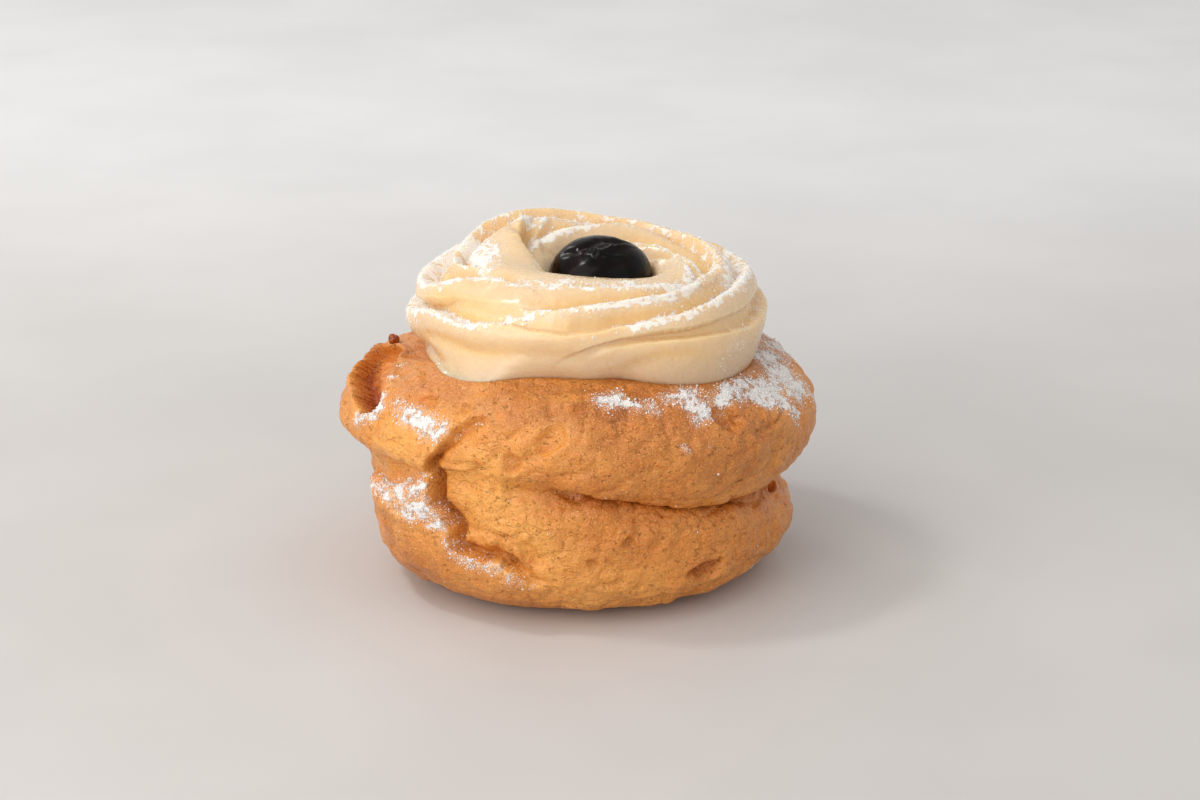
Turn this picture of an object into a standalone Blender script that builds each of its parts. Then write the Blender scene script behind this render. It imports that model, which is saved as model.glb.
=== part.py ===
"""A zeppola: fried choux in two tiers, a piped rosette of pastry cream, and a sour cherry in its well.

Blender works in metres with +Z up. The shapes are worked out in millimetres and scaled once, as each mesh
is made. The part stands on z = 0 with its origin under the middle of the choux, and its front faces -Y.
Azimuths are in degrees, anticlockwise from above: 0 is the right side, 90 the back, 180 the left and 270 the
front.

Each piece is a surface of two parameters, an azimuth and a place v that runs from the underside's middle
(v = 0) to the middle of the top (v = 1). A sphere's points are moved onto it, and its mesh is then thinned.
"""

import math

import bmesh
import bpy
import numpy as np

MM = 0.001
GAP = 0.4  # free space, in mm, between pieces that touch on the real one
ARC = 0.56  # handle length that makes a cubic curve a quarter of an ellipse

# --- The choux: each table gives a size in mm at some azimuths, and a smooth closed curve runs between -----
FOOT_RADIUS = {0: 22.5, 60: 21.0, 120: 21.0, 180: 22.5, 225: 21.5, 270: 19.5, 315: 19.5}
LOWER_RADIUS = {
    0: 34.9, 45: 34.0, 90: 33.5, 135: 34.5, 180: 35.5, 210: 36.2, 235: 36.3, 270: 34.8, 315: 34.8,
}
LOWER_HEIGHT = {0: 9.0, 90: 9.0, 180: 9.0, 230: 9.5, 270: 11.5, 315: 10.5}
FOLD_RADIUS = {
    0: 30.4, 45: 30.0, 90: 31.0, 135: 32.0, 180: 36.0, 225: 35.9, 250: 35.6, 262: 34.0, 270: 32.2,
    277: 30.8, 300: 30.2, 330: 30.2,
}
FOLD_HEIGHT = {
    0: 17.0, 45: 17.0, 90: 18.0, 135: 18.0, 180: 19.5, 205: 21.5, 225: 22.5, 250: 23.8, 262: 24.4,
    272: 24.0, 285: 22.0, 300: 20.0, 315: 18.6, 330: 17.6,
}
FOLD_SHARPNESS = {
    0: 0.65, 45: 0.7, 90: 0.8, 135: 0.45, 160: 0.1, 180: 0.0, 205: 0.0, 225: 0.0, 248: 0.0, 256: 0.12,
    264: 0.4, 270: 0.8, 276: 1.0, 315: 1.0, 335: 0.8,
}  # 0 is a soft waist, 1 a tight fold with the upper tier hanging over it
FOLD_HANDLES = ((4.6, -1.6), (5.2, -1.0))  # where a tight fold's curve comes in from and goes out to, in mm
FOLD_REACH = 0.05  # in v
UPPER_RADIUS = {
    0: 38.8, 30: 37.7, 60: 36.5, 90: 36.5, 135: 37.5, 170: 40.6, 185: 41.0, 205: 39.3, 235: 37.6, 270: 37.4,
    315: 38.5,
}
UPPER_HEIGHT = {0: 27.5, 90: 27.0, 180: 26.5, 225: 28.0, 270: 29.5, 315: 28.5}
CREST_RADIUS = {0: 25.5, 45: 24.5, 90: 24.0, 180: 26.5, 225: 26.0, 270: 25.0, 315: 25.5}
CREST_HEIGHT = {
    0: 37.6, 60: 38.0, 120: 38.5, 165: 37.4, 190: 37.4, 225: 39.8, 270: 40.3, 300: 39.4, 330: 38.2,
}
DISH_HEIGHT = 37.0
CHOUX_STRETCHES = {"foot": 0.07, "lower": 0.25, "fold": 0.38, "upper": 0.55, "shoulder": 0.86, "dish": 1.0}

# --- Marks of the crust ------------------------------------------------------------------------------------
LUMPS = [(13.0, 0.55), (6.0, 0.3)]  # size and rise, in mm
# Paths are (azimuth, height on the wall in mm, strength in mm), walked with the proud side on the left.
CLEFT = [
    (261.6, 9.6, 0.2), (256.7, 9.6, 0.5), (254.6, 10.4, 0.8), (249.9, 11.6, 1.2), (248.6, 12.8, 1.4),
    (243.8, 13.0, 1.5), (239.2, 13.5, 1.6), (236.6, 13.6, 1.7), (236.0, 14.9, 1.8), (236.6, 16.9, 2.0),
    (233.3, 18.7, 2.2), (229.6, 20.4, 2.4), (229.6, 22.2, 2.4), (228.3, 24.1, 2.2), (228.2, 25.9, 1.8),
    (229.8, 27.2, 1.5), (233.4, 29.8, 1.2), (236.4, 32.2, 1.0), (241.1, 34.8, 0.7), (243.7, 35.8, 0.2),
]
CLEFT_RISE, CLEFT_FALLS = (0.4, 5.0), [(1.0, 2.5), (0.25, 6.5)]  # (share of the strength, reach in mm)
LEDGE_OF_LOBE = [
    (228, 24.0, 0.8), (223, 22.6, 1.2), (218, 21.2, 1.5), (211, 19.3, 1.6), (201.5, 18.3, 1.3),
    (195, 17.8, 0.8), (187, 17.5, 0.0),
]
LEDGE_RISE, LEDGE_FALLS = (0.7, 5.0), [(1.0, 3.0)]
STEP_WIDTH = 1.0
# Creases are walked to the right: their upper side overhangs, and their lower side slopes away.
UPPER_CREASE = [
    (228.9, 25.2, 1.0), (233, 25.3, 1.1), (237.7, 26.0, 0.9), (243.7, 27.3, 0.6), (248.2, 28.4, 0.1),
]
FOLD_START = [
    (247.6, 24.6, 0.1), (253.6, 24.2, 0.8), (261, 23.9, 1.2), (266, 24.2, 0.8), (270, 24.2, 0.0),
]
CREASE_ABOVE, CREASE_BELOW = 0.8, 2.2  # how far a crease reaches to its two sides, in mm
HOLLOW_RIM = 1.25  # a hollow begins this many times its own half width from its middle
TORN_BY, TORN_EVERY = 0.7, 2.4  # how far a torn edge wanders, and how often
WANDER_BY, WANDER_EVERY = 0.9, 2.6  # the same for the outlines of the hollows
HOLLOW_REACH = 9.0  # a hollow stops this far behind its own wall
# Hollows are azimuth, height, half width, half height, tilt in degrees, depth, and how sharp the edge is.
HOLLOWS = [
    (262.0, 33.6, 2.8, 1.8, 25, 1.1, 0.75),
    (251.8, 29.2, 2.3, 1.0, 10, 1.0, 0.6),
    (258.0, 31.2, 2.2, 0.8, 35, 0.5, 0.5),
    (223.8, 36.0, 2.2, 1.1, 15, 0.9, 0.6),
    (236.9, 35.8, 1.5, 1.1, 30, 0.7, 0.6),
    (270.5, 37.9, 1.3, 0.8, 20, 0.6, 0.5),
    (310.0, 34.6, 2.9, 1.7, -38, 1.6, 0.6),
    (305.0, 8.8, 2.8, 1.3, 8, 2.6, 0.8),
    (347.5, 15.8, 1.7, 1.2, 20, 1.6, 0.6),
    (281.5, 15.6, 1.1, 0.9, 0, 0.8, 0.5),
    (272.5, 12.3, 1.0, 0.9, 0, 0.8, 0.5),
    (251.3, 12.2, 1.6, 1.0, -30, 1.5, 0.6),
    (259.0, 19.4, 2.6, 1.0, -40, 0.5, 0.4),
    (256.0, 13.6, 2.4, 1.2, -35, 0.7, 0.5),
]
# Bumps are azimuth, height, radius, rise; the first is a burnt crumb on the rim of the burst bubble.
BUMPS = [(169.5, 36.1, 1.2, 2.2), (214, 12.5, 9.0, 0.9), (206, 30.5, 6.0, 0.5), (262, 29.0, 8.0, 0.5)]
# The burst bubble's rim is (azimuth, height, how proud, how deep behind it), with the hole on the left.
BUBBLE_RIM = [
    (193, 31.6, 0.6, 5.5), (198, 30.6, 0.3, 6.0), (201, 30.3, 0.3, 6.0), (206, 31.4, 0.3, 6.0),
    (208, 32.6, 0.3, 5.5), (206, 34.6, 0.3, 4.5), (199.5, 36.2, 0.3, 3.5), (190, 36.7, 0.4, 3.0),
    (183, 36.9, 0.6, 2.5), (177, 36.6, 1.2, 2.2), (173.5, 35.2, 2.0, 2.2), (177, 33.6, 2.2, 2.8),
    (184, 32.4, 1.6, 4.5), (193, 31.6, 0.6, 5.5),
]
BUBBLE_WALL = 1.1  # how far in the hole reaches its depth, in mm
BUBBLE_HALF = 8.0  # nothing further inside its rim than this belongs to the bubble
RIM_OUT, RIM_WIDTH = 0.4, 1.1  # how far outside the hole its proud rim stands, and how wide it is
RIM_FACES_UP = 20.0  # in mm, added to the outward direction there, so that it also holds on the shoulder
BUBBLE_RUNS = np.array([0.35, 0.80, -0.50])  # the way the bubble runs into the dough

# The relief dies away under the cream and towards the floor: (where it begins, how soon it is full), in mm.
OUT_OF_SKIRT, UNDER_CREAM, OFF_FLOOR = (0.5, 2.5), (35.0, 3.0), (0.3, 3.0)

# --- The cherry, and the rosette round it ------------------------------------------------------------------
CHERRY_CENTRE = (2.6, 0.0, 49.8)
CHERRY_RADII = (8.5, 8.3, 6.4)
CREAM_CENTRE = (2.6, 0.0)
WELL_FLOOR_RADIUS = 7.9
LIP_ROLL = 4.6  # how far the lip runs level into the well
WELL_SIDE = (0.9, 3.2)  # the well's side comes down to its floor from this far out and up
SKIRT_ROLL = (0.8, 0.4)  # the skirt's foot leaves outwards by mm, and meets its side at a share of its rise
# Folds are paths of (azimuth, angle above level, rise in mm) on the ball, each with its half width in mm.
CHERRY_FOLDS = [
    ([(258, 46, 0.0), (273, 55, 0.5), (287, 59, 0.55), (309, 62, 0.5), (343, 59, 0.4), (368, 46, 0.0)], 0.7),
    ([(220, 55, 0.0), (235, 57, 0.4), (260, 57, 0.45), (283, 47, 0.4), (320, 43, 0.0)], 0.7),
    ([(290, 74, 0.0), (312, 77, -0.5), (345, 72, -0.6), (354, 62, -0.4), (368, 50, 0.0)], 1.0),
    ([(190, 36, 0.0), (199, 44, -0.3), (221, 54, -0.45), (250, 76, -0.4), (300, 84, 0.0)], 0.9),
    ([(110, 60, 0.0), (90, 40, -0.5), (80, 15, -0.3), (75, 0, 0.0)], 0.9),
    ([(30, 70, 0.0), (40, 45, -0.4), (20, 25, -0.3), (15, 10, 0.0)], 0.8),
]
FOLD_STOPS = 5  # stops read along each stretch of a fold
SKIRT_RADIUS = {
    0: 25.4, 45: 26.5, 90: 27.0, 135: 27.5, 180: 28.0, 205: 29.5, 220: 31.8, 233: 31.0, 245: 27.6, 255: 26.0,
    265: 25.6, 277: 24.6, 288: 26.4, 305: 27.8, 325: 27.0, 345: 25.6,
}
BULGE_RADIUS = {
    0: 26.8, 45: 26.5, 90: 27.0, 135: 28.0, 180: 31.2, 205: 30.7, 225: 30.5, 250: 28.0, 277: 26.2, 300: 28.2,
    330: 27.8,
}
BULGE_RISE = {0: 6.5, 90: 5.0, 180: 4.0, 235: 3.6, 255: 4.6, 277: 4.6, 300: 4.0}
LIP_RADIUS = {0: 17.5, 45: 17.0, 90: 17.0, 135: 18.0, 180: 17.5, 225: 15.5, 270: 14.0, 315: 15.5}
LIP_HEIGHT = {0: 51.9, 45: 53.0, 90: 54.4, 130: 56.5, 180: 54.0, 225: 53.4, 270: 53.0, 315: 52.3}
CREAM_STRETCHES = {"under": 0.16, "skirt": 0.26, "wall": 0.62, "well": 0.86, "cup": 1.0}
# Paths on the cream are (azimuth, place p, how proud), walked with the ledge on their left. The place is 0
# at the skirt's foot, 1 on the lip of the well and 2 at the cup. Past 360 the azimuth counts on, so that
# one path can climb round and round.
ROPE = [
    (264, 0.16, 0.0), (268, 0.20, 0.1), (272, 0.24, 0.2), (284, 0.32, 0.4), (295, 0.38, 0.6),
    (305, 0.39, 0.6), (315, 0.38, 0.5), (329, 0.33, 0.6), (345, 0.31, 0.8), (360, 0.30, 0.9),
    (405, 0.31, 1.0), (450, 0.33, 1.0), (495, 0.34, 1.1), (540, 0.33, 1.3), (549, 0.35, 1.5),
    (559, 0.42, 1.5), (568, 0.44, 1.3), (576, 0.43, 1.2), (583, 0.43, 1.1), (590, 0.45, 0.9),
    (594, 0.46, 0.7), (599, 0.45, 0.5), (609, 0.39, 0.5), (619, 0.35, 0.5), (630, 0.39, 0.6),
    (637, 0.44, 0.8), (642, 0.46, 1.0), (650, 0.52, 1.0), (659, 0.56, 1.0), (668, 0.60, 1.0),
    (684, 0.65, 1.0), (706, 0.67, 1.0), (722, 0.62, 1.0), (765, 0.60, 1.0), (855, 0.57, 1.0),
    (900, 0.52, 1.4), (911, 0.54, 1.5), (918, 0.60, 1.5), (923, 0.70, 1.4), (929, 0.77, 1.2),
    (938, 0.82, 0.9), (950, 0.80, 0.6), (960, 0.80, 0.6), (971, 0.81, 0.7), (990, 0.82, 0.8),
    (1010, 0.86, 0.8), (1020, 0.89, 0.7), (1035, 0.92, 0.3), (1050, 0.94, 0.0),
]
SECOND_EDGE = [
    (238, 0.60, 0.0), (243, 0.58, 0.3), (248, 0.58, 0.6), (253, 0.57, 0.8), (263, 0.60, 1.0),
    (277, 0.65, 1.0), (291, 0.72, 1.0), (302, 0.76, 1.0), (314, 0.81, 1.0), (327, 0.86, 1.0),
    (340, 0.90, 1.0), (352, 0.92, 1.0), (380, 0.90, 0.9), (450, 0.90, 0.8), (480, 0.87, 0.9),
    (500, 0.84, 1.0), (520, 0.78, 1.2), (533, 0.75, 1.3), (541, 0.75, 1.3), (550, 0.78, 0.9),
    (558, 0.84, 0.4), (566, 0.88, 0.0),
]
DIVE = [
    (224, 0.83, 0.0), (230, 0.80, 0.15), (240, 0.74, 0.25), (245, 0.69, 0.25), (249, 0.63, 0.2),
    (252, 0.57, 0.0),
]
# In the well the ledges are above the edges, so these are walked clockwise.
WELL_BACK = [
    (154, 1.48, 0.0), (148, 1.43, 0.7), (137, 1.43, 1.0), (122, 1.40, 1.0), (105, 1.33, 1.0),
    (91, 1.25, 1.0), (76, 1.12, 0.8), (58, 1.04, 0.5), (35, 0.99, 0.0),
]
WELL_RIGHT = [
    (78, 1.55, 0.0), (60, 1.47, 0.7), (39, 1.39, 1.0), (18, 1.33, 1.0), (-3, 1.15, 1.0),
    (-17, 0.97, 0.7), (-25, 0.92, 0.0),
]
WELL_INNER = [
    (50, 1.80, 0.0), (30, 1.71, 0.7), (10, 1.55, 0.9), (-16, 1.20, 0.8), (-27, 1.00, 0.4),
    (-35, 0.95, 0.0),
]
TAIL_CURL = [
    (121, 1.08, 0.0), (124, 1.13, 0.6), (132, 1.22, 0.9), (139, 1.29, 0.9), (147, 1.37, 0.7),
    (157, 1.60, 0.0),
]
# The tail's end lies in the well, on the left of the cherry, and drops to it.
TAIL_END = [
    (128, 0.95, 0.0), (140, 1.08, 0.8), (150, 1.16, 1.3), (163, 1.25, 1.6), (178, 1.34, 1.6),
    (190, 1.42, 1.3), (203, 1.48, 0.7), (215, 1.50, 0.0),
]
EDGES = [ROPE, SECOND_EDGE, DIVE, WELL_BACK, WELL_RIGHT, WELL_INNER, TAIL_CURL, TAIL_END]
# Soft grooves are (azimuth, place p, depth in mm), each with its half width.
SOFT_GROOVES = [
    ([(188, 0.50, 0.0), (205, 0.56, 0.5), (219, 0.60, 0.6), (236, 0.58, 0.5), (260, 0.52, 0.0)], 1.3),
    ([(192, 0.20, 0.0), (204, 0.27, 0.5), (221, 0.29, 0.7), (235, 0.26, 0.6), (258, 0.21, 0.3),
      (270, 0.19, 0.0)], 1.5),
    ([(150, 0.14, 0.0), (180, 0.14, 1.6), (198, 0.15, 1.9), (208, 0.13, 1.2), (226, 0.12, 0.0)], 1.7),
    ([(276, 0.12, 0.0), (283, 0.18, 0.4), (291, 0.26, 0.5), (300, 0.29, 0.4), (312, 0.24, 0.0)], 1.4),
    ([(148, 0.72, 0.0), (163, 0.71, 1.2), (177, 0.69, 2.3), (190, 0.70, 2.3), (203, 0.76, 1.2),
      (220, 0.82, 0.0)], 2.0),
    ([(141, 0.90, 0.0), (144, 0.97, 0.6), (153, 1.10, 0.8), (160, 1.26, 0.7), (162, 1.6, 0.0)], 0.9),
]
DEGREES_PER_STOP, STOPS_APART = 6, 0.01  # stops nearer than this share of a step are one stop
EDGE_RISE, EDGE_SINK = 1.10, 1.35  # in mm: proud at the edge, and sunk at the back of its ledge
FACE_REACH, LEDGE_WIDTH, LEDGE_REACH = 3.0, 1.05, 2.1  # in mm
STRANDS_BEGIN, STRANDS_END = 0.12, 0.3  # the strands fade over these shares of p at the foot and at the cup

# --- The meshes: points round and along each sphere, then the triangles kept -------------------------------
CHOUX_GRID, CHOUX_TRIANGLES = (300, 170), 7000
CREAM_GRID, CREAM_TRIANGLES = (260, 160), 5200
CHERRY_GRID, CHERRY_TRIANGLES = (64, 40), 700
FLAT_WITHIN = 0.00003  # in metres

COLOURS = {"choux": (0.55, 0.24, 0.07), "cream": (0.84, 0.64, 0.36), "cherry": (0.012, 0.003, 0.003)}
ROUGHNESS = {"choux": 0.6, "cream": 0.4, "cherry": 0.12}


def round_the_ring(azimuth, table):
    """The table's value at each azimuth, on a smooth closed curve through its entries."""
    knots = np.array(sorted(table), float)
    values = np.array([table[k] for k in sorted(table)], float)
    knots = np.concatenate([knots - 360, knots, knots + 360])
    values = np.tile(values, 3)
    slopes = np.gradient(values, knots)
    azimuth = np.mod(azimuth, 360.0)
    i = np.clip(np.searchsorted(knots, azimuth, side="right") - 1, 0, len(knots) - 2)
    step = knots[i + 1] - knots[i]
    t = (azimuth - knots[i]) / step
    rise = t * t * (3 - 2 * t)
    bend = step * (t * (1 - t) ** 2 * slopes[i] - t * t * (1 - t) * slopes[i + 1])
    return (1 - rise) * values[i] + rise * values[i + 1] + bend


def smooth(t):
    """0 below 0, 1 above 1, and an even ease between."""
    t = np.clip(t, 0, 1)
    return t * t * (3 - 2 * t)


def bezier(t, start, leave, arrive, end):
    """A cubic curve in the (radius, height) plane, one for each point of the surface."""
    s = 1 - t
    return [
        s**3 * a + 3 * s * s * t * b + 3 * s * t * t * c + t**3 * d
        for a, b, c, d in zip(start, leave, arrive, end)
    ]


def along_section(v, stretches, curves):
    """(radius, height) at v: the section's curves follow one another, each ending at its stretch's value."""
    radius, height = np.zeros_like(v), np.zeros_like(v)
    start = 0.0
    for name, end in stretches.items():
        here = (v >= start) & (v <= end)
        r, z = curves[name](np.clip((v - start) / (end - start), 0, 1))
        radius, height = np.where(here, r, radius), np.where(here, z, height)
        start = end
    return radius, height


def choux_top(azimuth, radius):
    """Height of the plain ring's top: an ellipse outside its crest, a shallow dish inside."""
    up_r, up_z = round_the_ring(azimuth, UPPER_RADIUS), round_the_ring(azimuth, UPPER_HEIGHT)
    top_r, top_z = round_the_ring(azimuth, CREST_RADIUS), round_the_ring(azimuth, CREST_HEIGHT)
    outside = np.clip((radius - top_r) / (up_r - top_r), 0, 1)
    shoulder = up_z + (top_z - up_z) * np.sqrt(1 - outside**2)
    dish = DISH_HEIGHT + (top_z - DISH_HEIGHT) * smooth(radius / top_r)
    return np.where(radius > top_r, shoulder, dish)


def choux_section(azimuth, v):
    """(radius, height) of the plain ring."""
    foot = round_the_ring(azimuth, FOOT_RADIUS)
    low_r, low_z = round_the_ring(azimuth, LOWER_RADIUS), round_the_ring(azimuth, LOWER_HEIGHT)
    fold_r, fold_z = round_the_ring(azimuth, FOLD_RADIUS), round_the_ring(azimuth, FOLD_HEIGHT)
    up_r, up_z = round_the_ring(azimuth, UPPER_RADIUS), round_the_ring(azimuth, UPPER_HEIGHT)
    top_r = round_the_ring(azimuth, CREST_RADIUS)
    top_z = round_the_ring(azimuth, CREST_HEIGHT)
    sharp = round_the_ring(azimuth, FOLD_SHARPNESS)
    zero = np.zeros_like(azimuth)
    below, above = ARC * (fold_z - low_z), ARC * (up_z - fold_z)
    (in_r, in_z), (out_r, out_z) = FOLD_HANDLES
    turn_in = (fold_r + sharp * in_r, fold_z - (1 - sharp) * below + sharp * in_z)
    turn_out = (fold_r + sharp * out_r, fold_z + (1 - sharp) * above + sharp * out_z)

    def shoulder(t):
        angle = t * math.pi / 2
        return top_r + (up_r - top_r) * np.cos(angle), up_z + (top_z - up_z) * np.sin(angle)

    curves = {
        "foot": lambda t: (foot * t, zero),
        "lower": lambda t: bezier(
            t, (foot, zero), (foot + ARC * (low_r - foot), zero), (low_r, low_z * (1 - ARC)), (low_r, low_z)
        ),
        "fold": lambda t: bezier(t, (low_r, low_z), (low_r, low_z + below), turn_in, (fold_r, fold_z)),
        "upper": lambda t: bezier(t, (fold_r, fold_z), turn_out, (up_r, up_z - above), (up_r, up_z)),
        "shoulder": shoulder,
        "dish": lambda t: (top_r * (1 - t), choux_top(azimuth, top_r * (1 - t))),
    }
    return along_section(v, CHOUX_STRETCHES, curves)


def turned(azimuth, radius, height, centre=(0.0, 0.0)):
    """Points, in mm, from cylinder coordinates round an upright axis."""
    angle = np.radians(azimuth)
    x, y = centre[0] + radius * np.cos(angle), centre[1] + radius * np.sin(angle)
    return np.stack([x, y, height], axis=-1)


def choux_ring(azimuth, v):
    """Points, in mm, of the plain ring."""
    return turned(azimuth, *choux_section(azimuth, v))


def cream_section(azimuth, v):
    """(radius, height) of the plain rosette round its own axis, and its place p up the wall.

    p is 0 at the skirt's foot, 1 on the lip of the well and 2 where the cup begins."""
    edge = round_the_ring(azimuth, SKIRT_RADIUS)
    bulge, rise = round_the_ring(azimuth, BULGE_RADIUS), round_the_ring(azimuth, BULGE_RISE)
    lip_r, lip_z = round_the_ring(azimuth, LIP_RADIUS), round_the_ring(azimuth, LIP_HEIGHT)

    def resting_height(radius):
        points = turned(azimuth, radius, azimuth * 0, CREAM_CENTRE)
        x, y = points[..., 0], points[..., 1]
        return choux_top(np.degrees(np.arctan2(y, x)), np.hypot(x, y)) + GAP

    foot_z = resting_height(edge)
    cup_r, cup_z = CHERRY_RADII[0] + GAP, CHERRY_RADII[2] + GAP
    start_angle = math.acos(WELL_FLOOR_RADIUS / cup_r)
    floor_r = WELL_FLOOR_RADIUS
    floor_z = CHERRY_CENTRE[2] - cup_z * math.sin(start_angle)
    bulge_z = foot_z + rise
    roll_r, roll_z = SKIRT_ROLL

    def cup(t):
        angle = start_angle + t * (math.pi / 2 - start_angle)
        return cup_r * np.cos(angle), CHERRY_CENTRE[2] - cup_z * np.sin(angle)

    curves = {
        "under": lambda t: (edge * t, resting_height(edge * t)),
        "skirt": lambda t: bezier(
            t, (edge, foot_z), (edge + roll_r, foot_z), (bulge, foot_z + rise * roll_z), (bulge, bulge_z)
        ),
        "wall": lambda t: bezier(
            t,
            (bulge, bulge_z),
            (bulge, bulge_z + ARC * (lip_z - bulge_z)),
            (lip_r + ARC * (bulge - lip_r), lip_z),
            (lip_r, lip_z),
        ),
        "well": lambda t: bezier(
            t,
            (lip_r, lip_z),
            (lip_r - LIP_ROLL, lip_z),
            (floor_r + WELL_SIDE[0], floor_z + WELL_SIDE[1]),
            (floor_r, floor_z),
        ),
        "cup": cup,
    }
    radius, height = along_section(v, CREAM_STRETCHES, curves)
    foot, lip, floor = CREAM_STRETCHES["under"], CREAM_STRETCHES["wall"], CREAM_STRETCHES["well"]
    place = np.where(v < lip, (v - foot) / (lip - foot), 1 + (v - lip) / (floor - lip))
    return radius, height, place


def cream_ring(azimuth, v):
    """Points, in mm, of the plain rosette."""
    radius, height, _ = cream_section(azimuth, v)
    return turned(azimuth, radius, height, CREAM_CENTRE)


def normals_of(surface, azimuth, v):
    """Outward unit normals of a surface of two parameters, from small steps along each."""
    turn, climb = 0.05, 0.0005
    across = surface(azimuth + turn, v) - surface(azimuth - turn, v)
    up = surface(azimuth, np.minimum(v + climb, 1)) - surface(azimuth, np.maximum(v - climb, 0))
    normal = np.cross(across, up)
    length = np.linalg.norm(normal, axis=-1, keepdims=True)
    pole = np.where(v[..., None] < 0.5, [0.0, 0.0, -1.0], [0.0, 0.0, 1.0])
    return np.where(length > 1e-9, normal / np.maximum(length, 1e-9), pole)


def value_noise(points, size, seed):
    """Smooth noise from -1 to 1 at each point, read from random values a lattice of this size holds."""
    place = points / size + seed * 0.37
    cell = np.floor(place).astype(np.int64)
    part = place - cell
    part = part * part * (3 - 2 * part)
    total = np.zeros(points.shape[:-1])
    for corner in np.ndindex(2, 2, 2):
        x, y, z = np.moveaxis(cell + corner, -1, 0)
        mixed = (x * 73856093) ^ (y * 19349663) ^ (z * 83492791) ^ (seed * 40503)
        mixed = ((mixed ^ (mixed >> 13)) * 1274126177) & 0xFFFFFFFF
        value = ((mixed ^ (mixed >> 15)) & 0xFFFF) / 32767.5 - 1
        total += value * np.prod(np.where(corner, part, 1 - part), axis=-1)
    return total


def wall_point(azimuth, height):
    """The point of the plain ring's wall at a height, looked up between its foot and its crest."""
    v = np.linspace(CHOUX_STRETCHES["foot"], CHOUX_STRETCHES["shoulder"], 600)
    points = choux_ring(np.full_like(v, azimuth), v)
    return points[np.argmin(np.abs(points[:, 2] - height))]


def beside_stops(points, stops, outward, columns):
    """(offset, columns) from a path: the distance to it, + on the walk's left, and what its stops say."""
    nearest = np.full(points.shape[:-1], np.inf)
    offset, found = np.zeros_like(nearest), np.zeros(nearest.shape + columns.shape[1:])
    for i in range(len(stops) - 1):
        along = stops[i + 1] - stops[i]
        left = np.cross(outward[i] + outward[i + 1], along)
        t = np.clip((points - stops[i]) @ along / (along @ along), 0, 1)
        away = points - stops[i] - t[..., None] * along
        distance = np.linalg.norm(away, axis=-1)
        nearer = distance < nearest
        nearest = np.where(nearer, distance, nearest)
        offset = np.where(nearer, np.sign(away @ left) * distance, offset)
        here = columns[i] + t[..., None] * (columns[i + 1] - columns[i])
        found = np.where(nearer[..., None], here, found)
    return offset, found


def beside_path(points, path):
    """(offset, strength) from a path of (azimuth, height, strength) on the choux's wall."""
    stops = np.array([wall_point(azimuth, height) for azimuth, height, _ in path])
    strengths = np.array([[strength] for _, _, strength in path])
    offset, found = beside_stops(points, stops, stops * (1, 1, 0), strengths)
    return offset, found[..., 0]


def torn_step(points, path, rise, falls):
    """A torn edge: proud on the left of the path, and sunk on its right.

    Rise and falls are (share of the path's strength, reach in mm), and each dies away over its reach."""
    offset, strength = beside_path(points, path)
    offset = offset + TORN_BY * value_noise(points, TORN_EVERY, 5)
    foot_of_step = smooth(-offset / STEP_WIDTH)
    proud = rise[0] * np.exp(-((offset / rise[1]) ** 2)) * (1 - foot_of_step)
    sunk = sum(share * np.exp(-((offset / reach) ** 2)) for share, reach in falls) * foot_of_step
    return strength * (proud - sunk)


def crease_depth(points, path):
    """A crease, with a short reach above its path and a long one below."""
    offset, strength = beside_path(points, path)
    return strength * np.exp(-((offset / np.where(offset > 0, CREASE_ABOVE, CREASE_BELOW)) ** 2))


def hollow_depth(points, azimuth, height, wide, high, tilt, depth, sharp):
    """An oval hollow in the wall, with its long side turned by tilt from level."""
    centre = wall_point(azimuth, height)
    up = wall_point(azimuth, height + 0.5) - wall_point(azimuth, height - 0.5)
    up /= np.linalg.norm(up)
    angle, tilt = math.radians(azimuth), math.radians(tilt)
    level = np.array([-math.sin(angle), math.cos(angle), 0.0])
    away = points - centre
    across = away @ (math.cos(tilt) * level + math.sin(tilt) * up) / wide
    along = away @ (math.cos(tilt) * up - math.sin(tilt) * level) / high
    same_side = smooth(1 - np.abs(away @ np.cross(level, up)) / HOLLOW_REACH)
    inside = HOLLOW_RIM - np.hypot(across, along)
    return depth * smooth(inside / (HOLLOW_RIM - sharp)) * same_side


def beside_rim(points):
    """(offset, how proud, how deep) from the rim of the burst bubble, + inside it."""
    stops = np.array([wall_point(azimuth, height) for azimuth, height, _, _ in BUBBLE_RIM])
    outward = stops * (1, 1, 0) + (0, 0, RIM_FACES_UP)
    offset, found = beside_stops(points, stops, outward, np.array(BUBBLE_RIM)[:, 2:])
    return offset, found[..., 0], found[..., 1]


def bubble_push(points):
    """How far each point is pushed into the burst bubble, along the bubble's run."""
    offset, _, depth = beside_rim(points)
    push = depth * smooth(offset / BUBBLE_WALL) * (offset < BUBBLE_HALF)
    return push[..., None] * BUBBLE_RUNS / np.linalg.norm(BUBBLE_RUNS)


def clear_of_cream(points):
    """0 on the choux under the cream, and 1 a little way out of it."""
    x, y, z = points[..., 0] - CREAM_CENTRE[0], points[..., 1] - CREAM_CENTRE[1], points[..., 2]
    outside = np.hypot(x, y) - round_the_ring(np.degrees(np.arctan2(y, x)), SKIRT_RADIUS)
    (out, out_full), (under, under_full) = OUT_OF_SKIRT, UNDER_CREAM
    return np.maximum(smooth((outside - out) / out_full), smooth((under - z) / under_full))


def crust_shown(points):
    """0 where the choux carries the cream or stands on the floor, and 1 where its crust shows."""
    off, full = OFF_FLOOR
    return clear_of_cream(points) * smooth((points[..., 2] - off) / full)


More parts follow.
